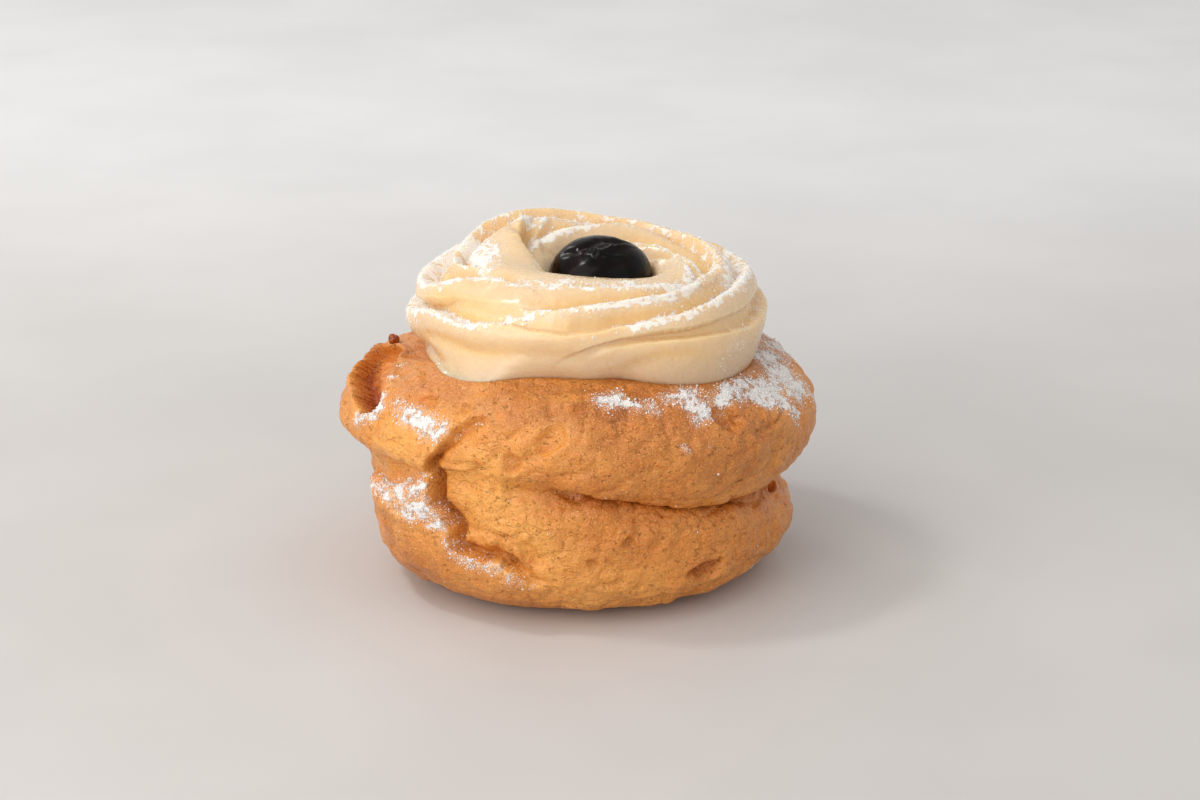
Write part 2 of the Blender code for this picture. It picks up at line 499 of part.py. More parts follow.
def crust_relief(azimuth, v):
    """How far the crust stands out of the plain ring, in mm."""
    points = choux_ring(azimuth, v)
    wander = [value_noise(points, WANDER_EVERY, seed) for seed in (7, 8, 9)]
    wandering = points + WANDER_BY * np.stack(wander, axis=-1)
    from_fold = (v - CHOUX_STRETCHES["fold"]) / FOLD_REACH
    in_fold = round_the_ring(azimuth, FOLD_SHARPNESS) * np.exp(-(from_fold**2))
    relief = sum(rise * value_noise(points, size, int(size)) for size, rise in LUMPS) * (1 - in_fold)
    relief += torn_step(points, CLEFT, CLEFT_RISE, CLEFT_FALLS)
    relief += torn_step(points, LEDGE_OF_LOBE, LEDGE_RISE, LEDGE_FALLS)
    relief -= crease_depth(points, UPPER_CREASE) + crease_depth(points, FOLD_START)
    offset, proud, _ = beside_rim(points)
    relief += proud * np.exp(-(((offset + RIM_OUT) / RIM_WIDTH) ** 2))
    for hollow in HOLLOWS:
        relief -= hollow_depth(wandering, *hollow)
    for bump_azimuth, height, radius, rise in BUMPS:
        distance = np.linalg.norm(points - wall_point(bump_azimuth, height), axis=-1)
        relief += rise * np.exp(-((distance / radius) ** 2))
    return relief * crust_shown(points)


def choux_surface(azimuth, v):
    """Points, in mm, of the crust."""
    points = choux_ring(azimuth, v)
    out = crust_relief(azimuth, v)[..., None] * normals_of(choux_ring, azimuth, v)
    return points + out + crust_shown(points)[..., None] * bubble_push(points)


def at_place(place):
    """The section's v at a place p on the wall (up to 1) or down the well (up to 2)."""
    foot, lip, floor = CREAM_STRETCHES["under"], CREAM_STRETCHES["wall"], CREAM_STRETCHES["well"]
    return np.where(place < 1, foot + place * (lip - foot), lip + (place - 1) * (floor - lip))


def beside_edge(points, path):
    """(offset, how proud) from a path on the cream, read every few degrees of its walk."""
    table = np.array(path, float)
    steps = np.maximum(np.abs(np.diff(table[:, 0])) / DEGREES_PER_STOP, 1)
    length = np.concatenate([[0], np.cumsum(steps)])
    dense = np.union1d(length, np.arange(length[-1]))
    dense = dense[np.diff(dense, prepend=-1) > STOPS_APART]
    azimuth, place, proud = (np.interp(dense, length, column) for column in table.T)
    v = at_place(place)
    outward = normals_of(cream_ring, azimuth, v)
    offset, found = beside_stops(points, cream_ring(azimuth, v), outward, proud[:, None])
    return offset, found[..., 0]


def edge_profile(offset):
    """A rope's edge in section: its face swells up to it, and its ledge drops behind it."""
    face = EDGE_RISE * np.exp(-((offset / FACE_REACH) ** 2))
    ledge = EDGE_RISE - (EDGE_RISE + EDGE_SINK) * smooth(offset / LEDGE_WIDTH)
    behind = np.exp(-((np.maximum(offset - LEDGE_WIDTH, 0) / LEDGE_REACH) ** 2))
    return np.where(offset < 0, face, ledge * behind)


def rope_relief(azimuth, v):
    """How far the piped rope's strands stand out of the plain rosette, in mm."""
    points = cream_ring(azimuth, v)
    _, _, place = cream_section(azimuth, v)
    relief = np.zeros_like(place)
    for path in EDGES:
        offset, proud = beside_edge(points, path)
        relief += proud * edge_profile(offset)
    for path, wide in SOFT_GROOVES:
        offset, depth = beside_edge(points, path)
        relief -= depth * np.exp(-((offset / wide) ** 2))
    return relief * smooth(place / STRANDS_BEGIN) * smooth((2 - place) / STRANDS_END)


def cream_surface(azimuth, v):
    """Points, in mm, of the rosette."""
    return cream_ring(azimuth, v) + rope_relief(azimuth, v)[..., None] * normals_of(cream_ring, azimuth, v)


def on_cherry(azimuth, angle):
    """Points, in mm, of the plain cherry: a squashed ball, read by azimuth and the angle above level."""
    up = np.radians(angle)
    return turned(azimuth, np.cos(up), np.sin(up)) * CHERRY_RADII + CHERRY_CENTRE


def cherry_surface(azimuth, v):
    """Points, in mm, of the cherry: the ball with its skin drawn into soft folds."""
    points = on_cherry(azimuth, v * 180 - 90)
    outward = (points - CHERRY_CENTRE) / np.array(CHERRY_RADII) ** 2
    outward /= np.linalg.norm(outward, axis=-1, keepdims=True)
    relief = np.zeros_like(azimuth)
    for path, wide in CHERRY_FOLDS:
        table = np.array(path, float)
        dense = np.linspace(0, len(table) - 1, FOLD_STOPS * len(table))
        turn, angle, rise = (np.interp(dense, np.arange(len(table)), column) for column in table.T)
        stops = on_cherry(turn, angle)
        offset, found = beside_stops(points, stops, stops - CHERRY_CENTRE, rise[:, None])
        relief += found[..., 0] * np.exp(-((offset / wide) ** 2))
    return points + relief[..., None] * outward


def from_lowest(corners):
    """The corners of a face, read round from its lowest number."""
    first = corners.index(min(corners))
    return corners[first:] + corners[:first]


def shaped_sphere(name, surface, grid):
    """An object whose mesh is a sphere with its points moved onto a surface of azimuth and v.

    Its faces are put in order, so that the mesh is thinned the same way each time."""
    ball = bmesh.new()
    bmesh.ops.create_uvsphere(ball, u_segments=grid[0], v_segments=grid[1], radius=1.0)
    ball.verts.index_update()
    start = np.array([vertex.co for vertex in ball.verts])
    faces = sorted(from_lowest([vertex.index for vertex in face.verts]) for face in ball.faces)
    ball.free()
    azimuth = np.degrees(np.arctan2(start[:, 1], start[:, 0]))
    v = 1 - np.arccos(np.clip(start[:, 2], -1, 1)) / math.pi
    mesh = bpy.data.meshes.new(name)
    mesh.from_pydata((surface(azimuth, v) * MM).tolist(), [], faces)
    return bpy.data.objects.new(name, mesh)


def thinned(made, triangles):
    """Collapse the object's mesh to about this many triangles, then lay its lowest points flat again."""
    made.data.calc_loop_triangles()
    modifier = made.modifiers.new("thin", "DECIMATE")
    modifier.ratio = triangles / len(made.data.loop_triangles)
    modifier.use_collapse_triangulate = True
    evaluated = made.evaluated_get(bpy.context.evaluated_depsgraph_get())
    full, made.data = made.data, bpy.data.meshes.new_from_object(evaluated)
    made.modifiers.clear()
    name = full.name
    bpy.data.meshes.remove(full)
    made.data.name = name
    lowest = min(vertex.co.z for vertex in made.data.vertices)
    for vertex in made.data.vertices:
        if vertex.co.z < lowest + FLAT_WITHIN:
            vertex.co.z = max(lowest, 0.0)


def material(name):
    """A Principled material of the piece's colour and roughness."""
    made = bpy.data.materials.new(name)
    made.use_nodes = True
    shader = made.node_tree.nodes["Principled BSDF"]
    shader.inputs["Base Color"].default_value = (*COLOURS[name], 1.0)
    shader.inputs["Roughness"].default_value = ROUGHNESS[name]
    return made


def piece(name, surface, grid, triangles, collection):
    """One sub-part: its shape, its material and its place in the collection."""
    made = shaped_sphere(name, surface, grid)
    collection.objects.link(made)
    thinned(made, triangles)
    made.data.materials.append(material(name))
    made.data.shade_smooth()
    return made


def main():
    for old in list(bpy.data.objects):
        bpy.data.objects.remove(old)
    zeppola = bpy.data.collections.new("zeppola")
    bpy.context.scene.collection.children.link(zeppola)
    piece("choux", choux_surface, CHOUX_GRID, CHOUX_TRIANGLES, zeppola)
    piece("cream", cream_surface, CREAM_GRID, CREAM_TRIANGLES, zeppola)
    piece("cherry", cherry_surface, CHERRY_GRID, CHERRY_TRIANGLES, zeppola)


main()
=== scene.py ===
# %% [markdown]
# # A zeppola: fried choux, piped cream, powdered sugar and a sour cherry
# This lesson dresses a plain solid model of a zeppola until it looks fit to eat. The solids already have
# the right size and the main forms, so each real piece keeps its place: the choux, the cream and the
# cherry. Each is remade here as a finer skin with its own finish, and the powdered sugar is laid on last.
#
# Azimuths are in degrees, anticlockwise from above: 0 is the right side, 90 the back, 180 the left and 270
# the front. Shapes are worked out in millimetres, and turned into metres once, as a mesh is made.

# %% Load the frame and keep its box
import math

import bpy
import numpy as np
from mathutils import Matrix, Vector


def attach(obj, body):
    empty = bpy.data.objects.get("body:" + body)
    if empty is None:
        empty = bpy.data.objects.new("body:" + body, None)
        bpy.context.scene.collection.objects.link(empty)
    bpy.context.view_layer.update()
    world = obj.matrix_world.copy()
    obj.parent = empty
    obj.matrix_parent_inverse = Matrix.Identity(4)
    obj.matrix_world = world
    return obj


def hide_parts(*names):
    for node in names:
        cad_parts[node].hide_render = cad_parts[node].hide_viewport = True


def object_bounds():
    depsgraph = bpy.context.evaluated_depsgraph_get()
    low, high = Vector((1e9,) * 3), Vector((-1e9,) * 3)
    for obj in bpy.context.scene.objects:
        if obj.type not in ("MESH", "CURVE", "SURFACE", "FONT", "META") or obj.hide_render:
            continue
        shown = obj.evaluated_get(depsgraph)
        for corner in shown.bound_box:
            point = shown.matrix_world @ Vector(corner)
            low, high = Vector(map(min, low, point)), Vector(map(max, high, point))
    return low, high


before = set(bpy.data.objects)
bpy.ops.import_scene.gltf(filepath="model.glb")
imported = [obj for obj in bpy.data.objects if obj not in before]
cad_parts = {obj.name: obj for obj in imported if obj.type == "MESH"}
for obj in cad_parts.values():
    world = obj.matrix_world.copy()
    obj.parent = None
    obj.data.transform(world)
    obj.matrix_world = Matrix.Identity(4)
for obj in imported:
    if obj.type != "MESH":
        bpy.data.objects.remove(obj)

MM = 0.001
cad_box = [list(corner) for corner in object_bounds()]
print("The solids' box, in mm:", np.round(np.array(cad_box) / MM, 1).tolist())

# %% [markdown]
# ## Curves that close on themselves
# Nothing on the choux is round: every ring bulges here and sinks there. A short table of sizes at a few
# azimuths, with a smooth closed curve run through it, says how. It is easier to read and to correct than a
# sculpted mesh, and any point of the surface can be asked for at any fineness.

# %% Eases, bells and closed curves
def smooth(t):
    """0 below 0, 1 above 1, and the even ease 3t^2 - 2t^3 between."""
    t = np.clip(t, 0, 1)
    return t * t * (3 - 2 * t)


def eased(value, start, over):
    """0 below start, and above it smoothly to 1 over the next stretch: smooth((value - start) / over)."""
    return smooth((value - start) / over)


def eased_below(value, start, over):
    """0 above start, and below it smoothly to 1 over the next stretch: smooth((start - value) / over)."""
    return smooth((start - value) / over)


def from_least(least, share):
    """least where the share is 0, and 1 where it is 1: least + (1 - least) * share."""
    return least + (1 - least) * share


def bell(distance, reach):
    """1 at no distance, and dying away on both sides as exp(-(distance / reach)^2)."""
    return np.exp(-((distance / reach) ** 2))


def round_the_ring(azimuth, table):
    """The table's value at each azimuth: cubic pieces that share a slope at every entry, closed at 360."""
    knots = np.array(sorted(table), float)
    values = np.array([table[k] for k in sorted(table)], float)
    knots = np.concatenate([knots - 360, knots, knots + 360])
    values = np.tile(values, 3)
    slopes = np.gradient(values, knots)
    azimuth = np.mod(azimuth, 360.0)
    i = np.clip(np.searchsorted(knots, azimuth, side="right") - 1, 0, len(knots) - 2)
    step = knots[i + 1] - knots[i]
    t = (azimuth - knots[i]) / step
    rise = t * t * (3 - 2 * t)
    bend = step * (t * (1 - t) ** 2 * slopes[i] - t * t * (1 - t) * slopes[i + 1])
    return (1 - rise) * values[i] + rise * values[i + 1] + bend


def bezier(t, start, leave, arrive, end):
    """The cubic (1-t)^3 a + 3(1-t)^2 t b + 3(1-t) t^2 c + t^3 d, in the (radius, height) plane."""
    s = 1 - t
    return [
        s**3 * a + 3 * s * s * t * b + 3 * s * t * t * c + t**3 * d
        for a, b, c, d in zip(start, leave, arrive, end)
    ]


def along_section(v, stretches, curves):
    """(radius, height) at v: the section's curves follow one another, each ending at its stretch's value."""
    radius, height = np.zeros_like(v), np.zeros_like(v)
    start = 0.0
    for name, end in stretches.items():
        here = (v >= start) & (v <= end)
        r, z = curves[name](np.clip((v - start) / (end - start), 0, 1))
        radius, height = np.where(here, r, radius), np.where(here, z, height)
        start = end
    return radius, height


print("Half way up an ease:", float(smooth(0.5)), "and one reach down a bell:", round(float(bell(1, 1)), 2))

# %% [markdown]
# ## From a section to a skin
# A section drawn in radius and height becomes a surface when it is turned round an upright axis, as on a
# potter's wheel. Relief is then added along the outward normal. Blender gives the normals of a finished
# mesh, but here they are needed before there is one, so two small steps along the surface are crossed
# instead.

# %% Turned points and their normals
TURN_STEP, CLIMB_STEP = 0.05, 0.0005  # in degrees and in v
NO_LENGTH = 1e-9


def turned(azimuth, radius, height, centre=(0.0, 0.0)):
    """Points from cylinder coordinates: x = r cos a, y = r sin a, z = h, round an upright axis."""
    angle = np.radians(azimuth)
    x, y = centre[0] + radius * np.cos(angle), centre[1] + radius * np.sin(angle)
    return np.stack([x, y, height + 0 * x], axis=-1)


def normals_of(surface, azimuth, v):
    """Outward unit normals: the cross product of small steps along the two parameters."""
    across = surface(azimuth + TURN_STEP, v) - surface(azimuth - TURN_STEP, v)
    up = surface(azimuth, np.minimum(v + CLIMB_STEP, 1)) - surface(azimuth, np.maximum(v - CLIMB_STEP, 0))
    normal = np.cross(across, up)
    length = np.linalg.norm(normal, axis=-1, keepdims=True)
    pole = np.where(v[..., None] < 0.5, [0.0, 0.0, -1.0], [0.0, 0.0, 1.0])
    return np.where(length > NO_LENGTH, normal / np.maximum(length, NO_LENGTH), pole)


print("A radius of 1 mm, turned to the back, reaches:", np.round(turned(90.0, 1.0, 0.0), 1).tolist())

# %% [markdown]
# ## Unevenness that is the same every time
# Dough swells and wrinkles by chance, but a script should give the same pastry each time it runs. This
# noise mixes the numbers of a lattice's corners into what looks like chance, and eases between them. Random
# numbers drawn one by one would change with the count of points, but this is a function of place alone.

# %% Noise
LATTICE_MIX = (73856093, 19349663, 83492791)  # large primes, so that neighbouring corners get unlike values
SEED_MIX, LAST_MIX = 40503, 1274126177
FIRST_FOLD, LAST_FOLD = 13, 15  # high bits are folded onto low ones by these shifts
KEPT_BITS, TOP_VALUE = 0xFFFFFFFF, 0xFFFF
SEED_SHIFT = 0.37  # each seed also reads another part of the lattice


def value_noise(points, size, seed):
    """Smooth noise from -1 to 1: random values on a lattice of this size, eased between its corners."""
    place = points / size + seed * SEED_SHIFT
    cell = np.floor(place).astype(np.int64)
    part = smooth(place - cell)
    total = np.zeros(points.shape[:-1])
    for corner in np.ndindex(2, 2, 2):
        x, y, z = np.moveaxis(cell + corner, -1, 0)
        mixed = (x * LATTICE_MIX[0]) ^ (y * LATTICE_MIX[1]) ^ (z * LATTICE_MIX[2]) ^ (seed * SEED_MIX)
        mixed = ((mixed ^ (mixed >> FIRST_FOLD)) * LAST_MIX) & KEPT_BITS
        value = ((mixed ^ (mixed >> LAST_FOLD)) & TOP_VALUE) / (TOP_VALUE / 2) - 1
        total += value * np.prod(np.where(corner, part, 1 - part), axis=-1)
    return total


def layered_noise(points, layers, seed):
    """The sum of rise * noise over layers of (size, rise), each with a seed of its own."""
    return sum(rise * value_noise(points, size, seed + i) for i, (size, rise) in enumerate(layers))


print("Noise at one point:", round(float(value_noise(np.array([1.0, 2.0, 3.0]), 2.0, 1)), 3))

# %% [markdown]
# ## The choux ring
# Choux dough is piped as a ring in two rounds and fried, and it swells until it looks like two cushions
# with a deep fold between. Its section is a chain of curves from the middle of the underside (v = 0), out
# and up the lower tier, into the fold, over the upper tier and its shoulder, and in to the shallow dish
# under the cream (v = 1). Sculpting would do as well, but a function can be asked for finer steps where
# they show.

# %% The ring's sizes
ARC = 0.56  # handle length that makes a cubic curve a quarter of an ellipse
FOOT_RADIUS = {0: 22.5, 60: 21.0, 120: 21.0, 180: 22.5, 225: 21.5, 270: 19.5, 315: 19.5}
LOWER_RADIUS = {
    0: 34.9, 45: 34.0, 90: 33.5, 135: 34.5, 180: 35.5, 210: 36.2, 235: 36.3, 270: 34.8, 315: 34.8,
}
LOWER_HEIGHT = {0: 9.0, 90: 9.0, 180: 9.0, 230: 9.5, 270: 11.5, 315: 10.5}
FOLD_RADIUS = {
    0: 30.4, 45: 30.0, 90: 31.0, 135: 32.0, 180: 36.0, 225: 35.9, 250: 35.6, 262: 34.0, 270: 32.2,
    277: 30.8, 300: 30.2, 330: 30.2,
}
FOLD_HEIGHT = {
    0: 17.0, 45: 17.0, 90: 18.0, 135: 18.0, 180: 19.5, 205: 21.5, 225: 22.5, 250: 23.8, 262: 24.4,
    272: 24.0, 285: 22.0, 300: 20.0, 315: 18.6, 330: 17.6,
}
# 0 is a soft waist, and 1 a tight fold with the upper tier hanging over it.
FOLD_SHARPNESS = {
    0: 0.65, 45: 0.7, 90: 0.8, 135: 0.45, 160: 0.1, 180: 0.0, 205: 0.0, 225: 0.0, 248: 0.0, 256: 0.12,
    264: 0.4, 270: 0.8, 276: 1.0, 315: 1.0, 335: 0.8,
}
FOLD_HANDLES = ((4.6, -1.6), (5.2, -1.0))  # where a tight fold's curve comes in from and goes out to, in mm
FOLD_REACH = 0.05  # in v
UPPER_RADIUS = {
    0: 38.6, 30: 37.6, 60: 36.5, 90: 36.5, 135: 37.5, 170: 40.6, 185: 41.0, 205: 39.3, 235: 37.5, 270: 37.3,
    315: 38.4,
}
UPPER_HEIGHT = {0: 27.5, 90: 27.0, 180: 26.5, 225: 28.0, 270: 29.5, 315: 28.5}
CREST_RADIUS = {0: 25.5, 45: 24.5, 90: 24.0, 180: 26.5, 225: 26.0, 270: 25.0, 315: 25.5}
CREST_HEIGHT = {
    0: 37.6, 60: 38.0, 120: 38.5, 165: 37.4, 190: 37.4, 225: 39.8, 270: 40.3, 300: 39.4, 330: 38.2,
}
DISH_HEIGHT = 37.0
CHOUX_STRETCHES = {"foot": 0.07, "lower": 0.25, "fold": 0.38, "upper": 0.55, "shoulder": 0.86, "dish": 1.0}
WALL_STEPS = 600  # how finely the wall is looked through for a height
print("The upper tier is", 2 * max(UPPER_RADIUS.values()), "mm across where it is widest")

# %% [markdown]
# ### The sizes as a surface
# The tables become a surface in two steps: at each azimuth they are read and joined by curves into a
# section, and the section is turned to its azimuth. The fold's curves are blended between a soft waist and
# a tight overhang, for on the real choux the fold opens at the right and dies out at the left front. One
# could model two rings and join them, but then the crust between them would have a seam.

# %% The plain ring
def choux_top(azimuth, radius):
    """Height of the ring's top: an ellipse outside its crest, and a shallow eased dish inside."""
    up_r, up_z = round_the_ring(azimuth, UPPER_RADIUS), round_the_ring(azimuth, UPPER_HEIGHT)
    top_r, top_z = round_the_ring(azimuth, CREST_RADIUS), round_the_ring(azimuth, CREST_HEIGHT)
    outside = np.clip((radius - top_r) / (up_r - top_r), 0, 1)
    shoulder = up_z + (top_z - up_z) * np.sqrt(1 - outside**2)
    dish = DISH_HEIGHT + (top_z - DISH_HEIGHT) * smooth(radius / top_r)
    return np.where(radius > top_r, shoulder, dish)


def choux_section(azimuth, v):
    """(radius, height) of the plain ring: three cubic curves, a quarter of an ellipse, and the dish."""
    foot = round_the_ring(azimuth, FOOT_RADIUS)
    low_r, low_z = round_the_ring(azimuth, LOWER_RADIUS), round_the_ring(azimuth, LOWER_HEIGHT)
    fold_r, fold_z = round_the_ring(azimuth, FOLD_RADIUS), round_the_ring(azimuth, FOLD_HEIGHT)
    up_r, up_z = round_the_ring(azimuth, UPPER_RADIUS), round_the_ring(azimuth, UPPER_HEIGHT)
    top_r = round_the_ring(azimuth, CREST_RADIUS)
    top_z = round_the_ring(azimuth, CREST_HEIGHT)
    sharp = round_the_ring(azimuth, FOLD_SHARPNESS)
    zero = np.zeros_like(azimuth)
    below, above = ARC * (fold_z - low_z), ARC * (up_z - fold_z)
    (in_r, in_z), (out_r, out_z) = FOLD_HANDLES
    turn_in = (fold_r + sharp * in_r, fold_z - (1 - sharp) * below + sharp * in_z)
    turn_out = (fold_r + sharp * out_r, fold_z + (1 - sharp) * above + sharp * out_z)

    def shoulder(t):
        angle = t * math.pi / 2
        return top_r + (up_r - top_r) * np.cos(angle), up_z + (top_z - up_z) * np.sin(angle)

    curves = {
        "foot": lambda t: (foot * t, zero),
        "lower": lambda t: bezier(
            t, (foot, zero), (foot + ARC * (low_r - foot), zero), (low_r, low_z * (1 - ARC)), (low_r, low_z)
        ),
        "fold": lambda t: bezier(t, (low_r, low_z), (low_r, low_z + below), turn_in, (fold_r, fold_z)),
        "upper": lambda t: bezier(t, (fold_r, fold_z), turn_out, (up_r, up_z - above), (up_r, up_z)),
        "shoulder": shoulder,
        "dish": lambda t: (top_r * (1 - t), choux_top(azimuth, top_r * (1 - t))),
    }
    return along_section(v, CHOUX_STRETCHES, curves)


def choux_ring(azimuth, v):
    """Points, in mm, of the plain ring: its section turned round the upright axis."""
    return turned(azimuth, *choux_section(azimuth, v))


def wall_point(azimuth, height):
    """The point of the plain ring's wall at a height, looked up between its foot and its crest."""
    v = np.linspace(CHOUX_STRETCHES["foot"], CHOUX_STRETCHES["shoulder"], WALL_STEPS)
    points = choux_ring(np.full_like(v, azimuth), v)
    return points[np.argmin(np.abs(points[:, 2] - height))]


def in_fold(azimuth, v):
    """1 in the tight part of the fold, dying away above and below it: sharpness * bell."""
    return round_the_ring(azimuth, FOLD_SHARPNESS) * bell(v - CHOUX_STRETCHES["fold"], FOLD_REACH)


print("The front of the shoulder is at, in mm:", np.round(wall_point(270.0, 38.0), 1).tolist())

# %% [markdown]
# ## Where the crust tore
# While the dough swelled, the skin had already set, so it split. One long cleft runs up the left front: the
# lobe on its left stands proud with a thin ragged lip, and on its right the younger dough is sunk. Such a
# tear is a step across a named path, and all it needs is the distance from every point to that path, with a
# sign for the side. A line sculpted by hand could not be moved by changing one number.

# %% Distances to a path
def beside_stops(points, stops, outward, columns):
    """(offset, columns) beside a path: the distance to its nearest piece, + on its left, and its columns.

    The nearest point of a piece is a share t along it, from 0 to 1, and the columns are mixed by t."""
    nearest = np.full(points.shape[:-1], np.inf)
    offset, found = np.zeros_like(nearest), np.zeros(nearest.shape + columns.shape[1:])
    for i in range(len(stops) - 1):
        along = stops[i + 1] - stops[i]
        left = np.cross(outward[i] + outward[i + 1], along)
        t = np.clip((points - stops[i]) @ along / (along @ along), 0, 1)
        away = points - stops[i] - t[..., None] * along
        distance = np.linalg.norm(away, axis=-1)
        nearer = distance < nearest
        nearest = np.where(nearer, distance, nearest)
        offset = np.where(nearer, np.sign(away @ left) * distance, offset)
        here = columns[i] + t[..., None] * (columns[i + 1] - columns[i])
        found = np.where(nearer[..., None], here, found)
    return offset, found


def beside_path(points, path):
    """(offset, strength) from a path of (azimuth, height, strength) on the choux's wall."""
    stops = np.array([wall_point(azimuth, height) for azimuth, height, _ in path])
    strengths = np.array([[strength] for _, _, strength in path])
    offset, found = beside_stops(points, stops, stops * (1, 1, 0), strengths)
    return offset, found[..., 0]


_, strength = beside_path(wall_point(260, 10)[None], [(250, 10, 0.0), (270, 10, 1.0)])
print("Half way along a path that grows from 0 to 1, its strength is", round(float(strength[0]), 2))

# %% [markdown]
# ### Steps and creases
# Across the cleft and the ledge of the lobe the crust steps up on one side and is sunk on the other. A
# crease is gentler: the upper dough rolls over the lower one, so it is short above its path and long below.
# Both use a bell, so they die away and leave the rest of the crust as it was.

# %% The cleft, the lobe's ledge and the creases
# Paths are (azimuth, height on the wall in mm, strength in mm), walked with the proud side on the left.
CLEFT = [
    (261.6, 9.6, 0.2), (256.7, 9.6, 0.5), (254.6, 10.4, 0.8), (249.9, 11.6, 1.2), (248.6, 12.8, 1.4),
    (243.8, 13.0, 1.5), (239.2, 13.5, 1.6), (236.6, 13.6, 1.7), (236.0, 14.9, 1.8), (236.6, 16.9, 2.0),
    (233.3, 18.7, 2.2), (229.6, 20.4, 2.4), (229.6, 22.2, 2.4), (228.3, 24.1, 2.2), (228.2, 25.9, 1.8),
    (229.8, 27.2, 1.5), (233.4, 29.8, 1.2), (236.4, 32.2, 1.0), (241.1, 34.8, 0.7), (243.7, 35.8, 0.2),
]
LEDGE_OF_LOBE = [
    (228.0, 24.0, 0.8), (223, 22.6, 1.2), (218, 21.2, 1.5), (211, 19.3, 1.6), (201.5, 18.3, 1.3),
    (195, 17.8, 0.8), (187, 17.5, 0.0),
]
# A torn edge rises in one bell and falls in one or two, each a share of its strength and a reach in mm.
CLEFT_RISE, CLEFT_FALLS = (0.4, 5.0), [(1.0, 2.5), (0.25, 6.5)]
LEDGE_RISE, LEDGE_FALLS = (0.7, 5.0), [(1.0, 3.0)]
STEP_WIDTH = 0.6  # in mm
CLEFT_MOVED = 1.4  # the cleft opens this far to the left of its path, in mm
TORN_BY, TORN_EVERY, TORN_SEED = 0.7, 2.4, 5  # how far a torn edge wanders, and how often
# Creases are walked to the right: their upper side overhangs, and their lower side slopes away.
UPPER_CREASE = [
    (228.9, 25.2, 1.0), (233, 25.3, 1.1), (237.7, 26.0, 0.9), (243.7, 27.3, 0.6), (248.2, 28.4, 0.1),
]
FOLD_START = [(247.6, 24.6, 0.1), (253.6, 24.2, 0.8), (261, 23.9, 1.2), (266, 24.2, 0.8), (270, 24.2, 0.0)]
CREASE_ABOVE, CREASE_BELOW = 0.7, 2.2  # how far a crease reaches to its two sides, in mm


def beside_tear(points, path, moved=0.0):
    """(offset, strength) from a torn path: its edge wanders with noise, and may lie moved to the left."""
    offset, strength = beside_path(points, path)
    return offset - moved + TORN_BY * value_noise(points, TORN_EVERY, TORN_SEED), strength


def torn_step(points, path, rise, falls, moved=0.0):
    """A torn edge: strength * (proud on the left of the path - sunk on its right), each side a bell."""
    offset, strength = beside_tear(points, path, moved)
    foot_of_step = smooth(-offset / STEP_WIDTH)
    proud = rise[0] * bell(offset, rise[1]) * (1 - foot_of_step)
    sunk = sum(share * bell(offset, reach) for share, reach in falls) * foot_of_step
    return strength * (proud - sunk)


def crease_depth(points, path):
    """A crease: strength * bell, with a short reach above the path and a long one below."""
    offset, strength = beside_path(points, path)
    return strength * bell(offset, np.where(offset > 0, CREASE_ABOVE, CREASE_BELOW))


print("The cleft has", len(CLEFT) - 1, "stretches and falls by up to", max(row[2] for row in CLEFT), "mm")

# %% [markdown]
# ### Hollows
# Steam leaves small dents and open pockets in the crust. Each is an oval in the wall: a distance measured
# across and along the oval's own axes, and a depth eased in from its rim. A Boolean cut would leave hard
# edges, and fried dough has none.

# %% Hollows in the wall
# Hollows are azimuth, height, half width, half height, tilt in degrees, depth, and how sharp the edge is.
HOLLOWS = [
    (262.0, 33.6, 2.8, 1.8, 25, 1.1, 0.75), (251.8, 29.2, 2.3, 1.0, 10, 1.0, 0.6),
    (258.0, 31.2, 2.2, 0.8, 35, 0.5, 0.5), (223.8, 36.0, 2.2, 1.1, 15, 0.9, 0.6),
    (236.9, 35.8, 1.5, 1.1, 30, 0.7, 0.6), (270.5, 37.9, 1.3, 0.8, 20, 0.6, 0.5),
    (310.0, 34.6, 2.9, 1.7, -38, 1.6, 0.6), (305.0, 8.8, 2.8, 1.3, 8, 2.6, 0.8),
    (347.5, 15.8, 1.7, 1.2, 20, 1.6, 0.6), (281.5, 15.6, 1.1, 0.9, 0, 0.8, 0.5),
    (272.5, 12.3, 1.0, 0.9, 0, 0.8, 0.5), (294.8, 31.4, 2.0, 0.6, -35, 0.4, 0.5),
    (251.3, 12.2, 1.6, 1.0, -30, 1.5, 0.6), (259.0, 19.4, 2.6, 1.0, -40, 0.5, 0.4),
    (256.0, 13.6, 2.4, 1.2, -35, 0.7, 0.5),
]
HOLLOW_RIM = 1.25  # a hollow begins this many times its own half width from its middle
HOLLOW_REACH = 9.0  # a hollow stops this far behind its own wall
UP_STEP = 0.5  # in mm, to find which way is up the wall
# Bumps are azimuth, height, radius, rise.
BUMPS = [(214, 12.5, 9.0, 0.9), (206, 30.5, 6.0, 0.5), (262, 29.0, 8.0, 0.5)]


def hollow_depth(points, azimuth, height, wide, high, tilt, depth, sharp):
    """An oval hollow in the wall: depth eased in from its rim, its long side turned by tilt from level."""
    centre = wall_point(azimuth, height)
    up = wall_point(azimuth, height + UP_STEP) - wall_point(azimuth, height - UP_STEP)
    up /= np.linalg.norm(up)
    angle, tilt = math.radians(azimuth), math.radians(tilt)
    level = np.array([-math.sin(angle), math.cos(angle), 0.0])
    away = points - centre
    across = away @ (math.cos(tilt) * level + math.sin(tilt) * up) / wide
    along = away @ (math.cos(tilt) * up - math.sin(tilt) * level) / high
    same_side = smooth(1 - np.abs(away @ np.cross(level, up)) / HOLLOW_REACH)
    inside = HOLLOW_RIM - np.hypot(across, along)
    return depth * smooth(inside / (HOLLOW_RIM - sharp)) * same_side


print("The crust has", len(HOLLOWS), "hollows, the deepest", max(hollow[5] for hollow in HOLLOWS), "mm")

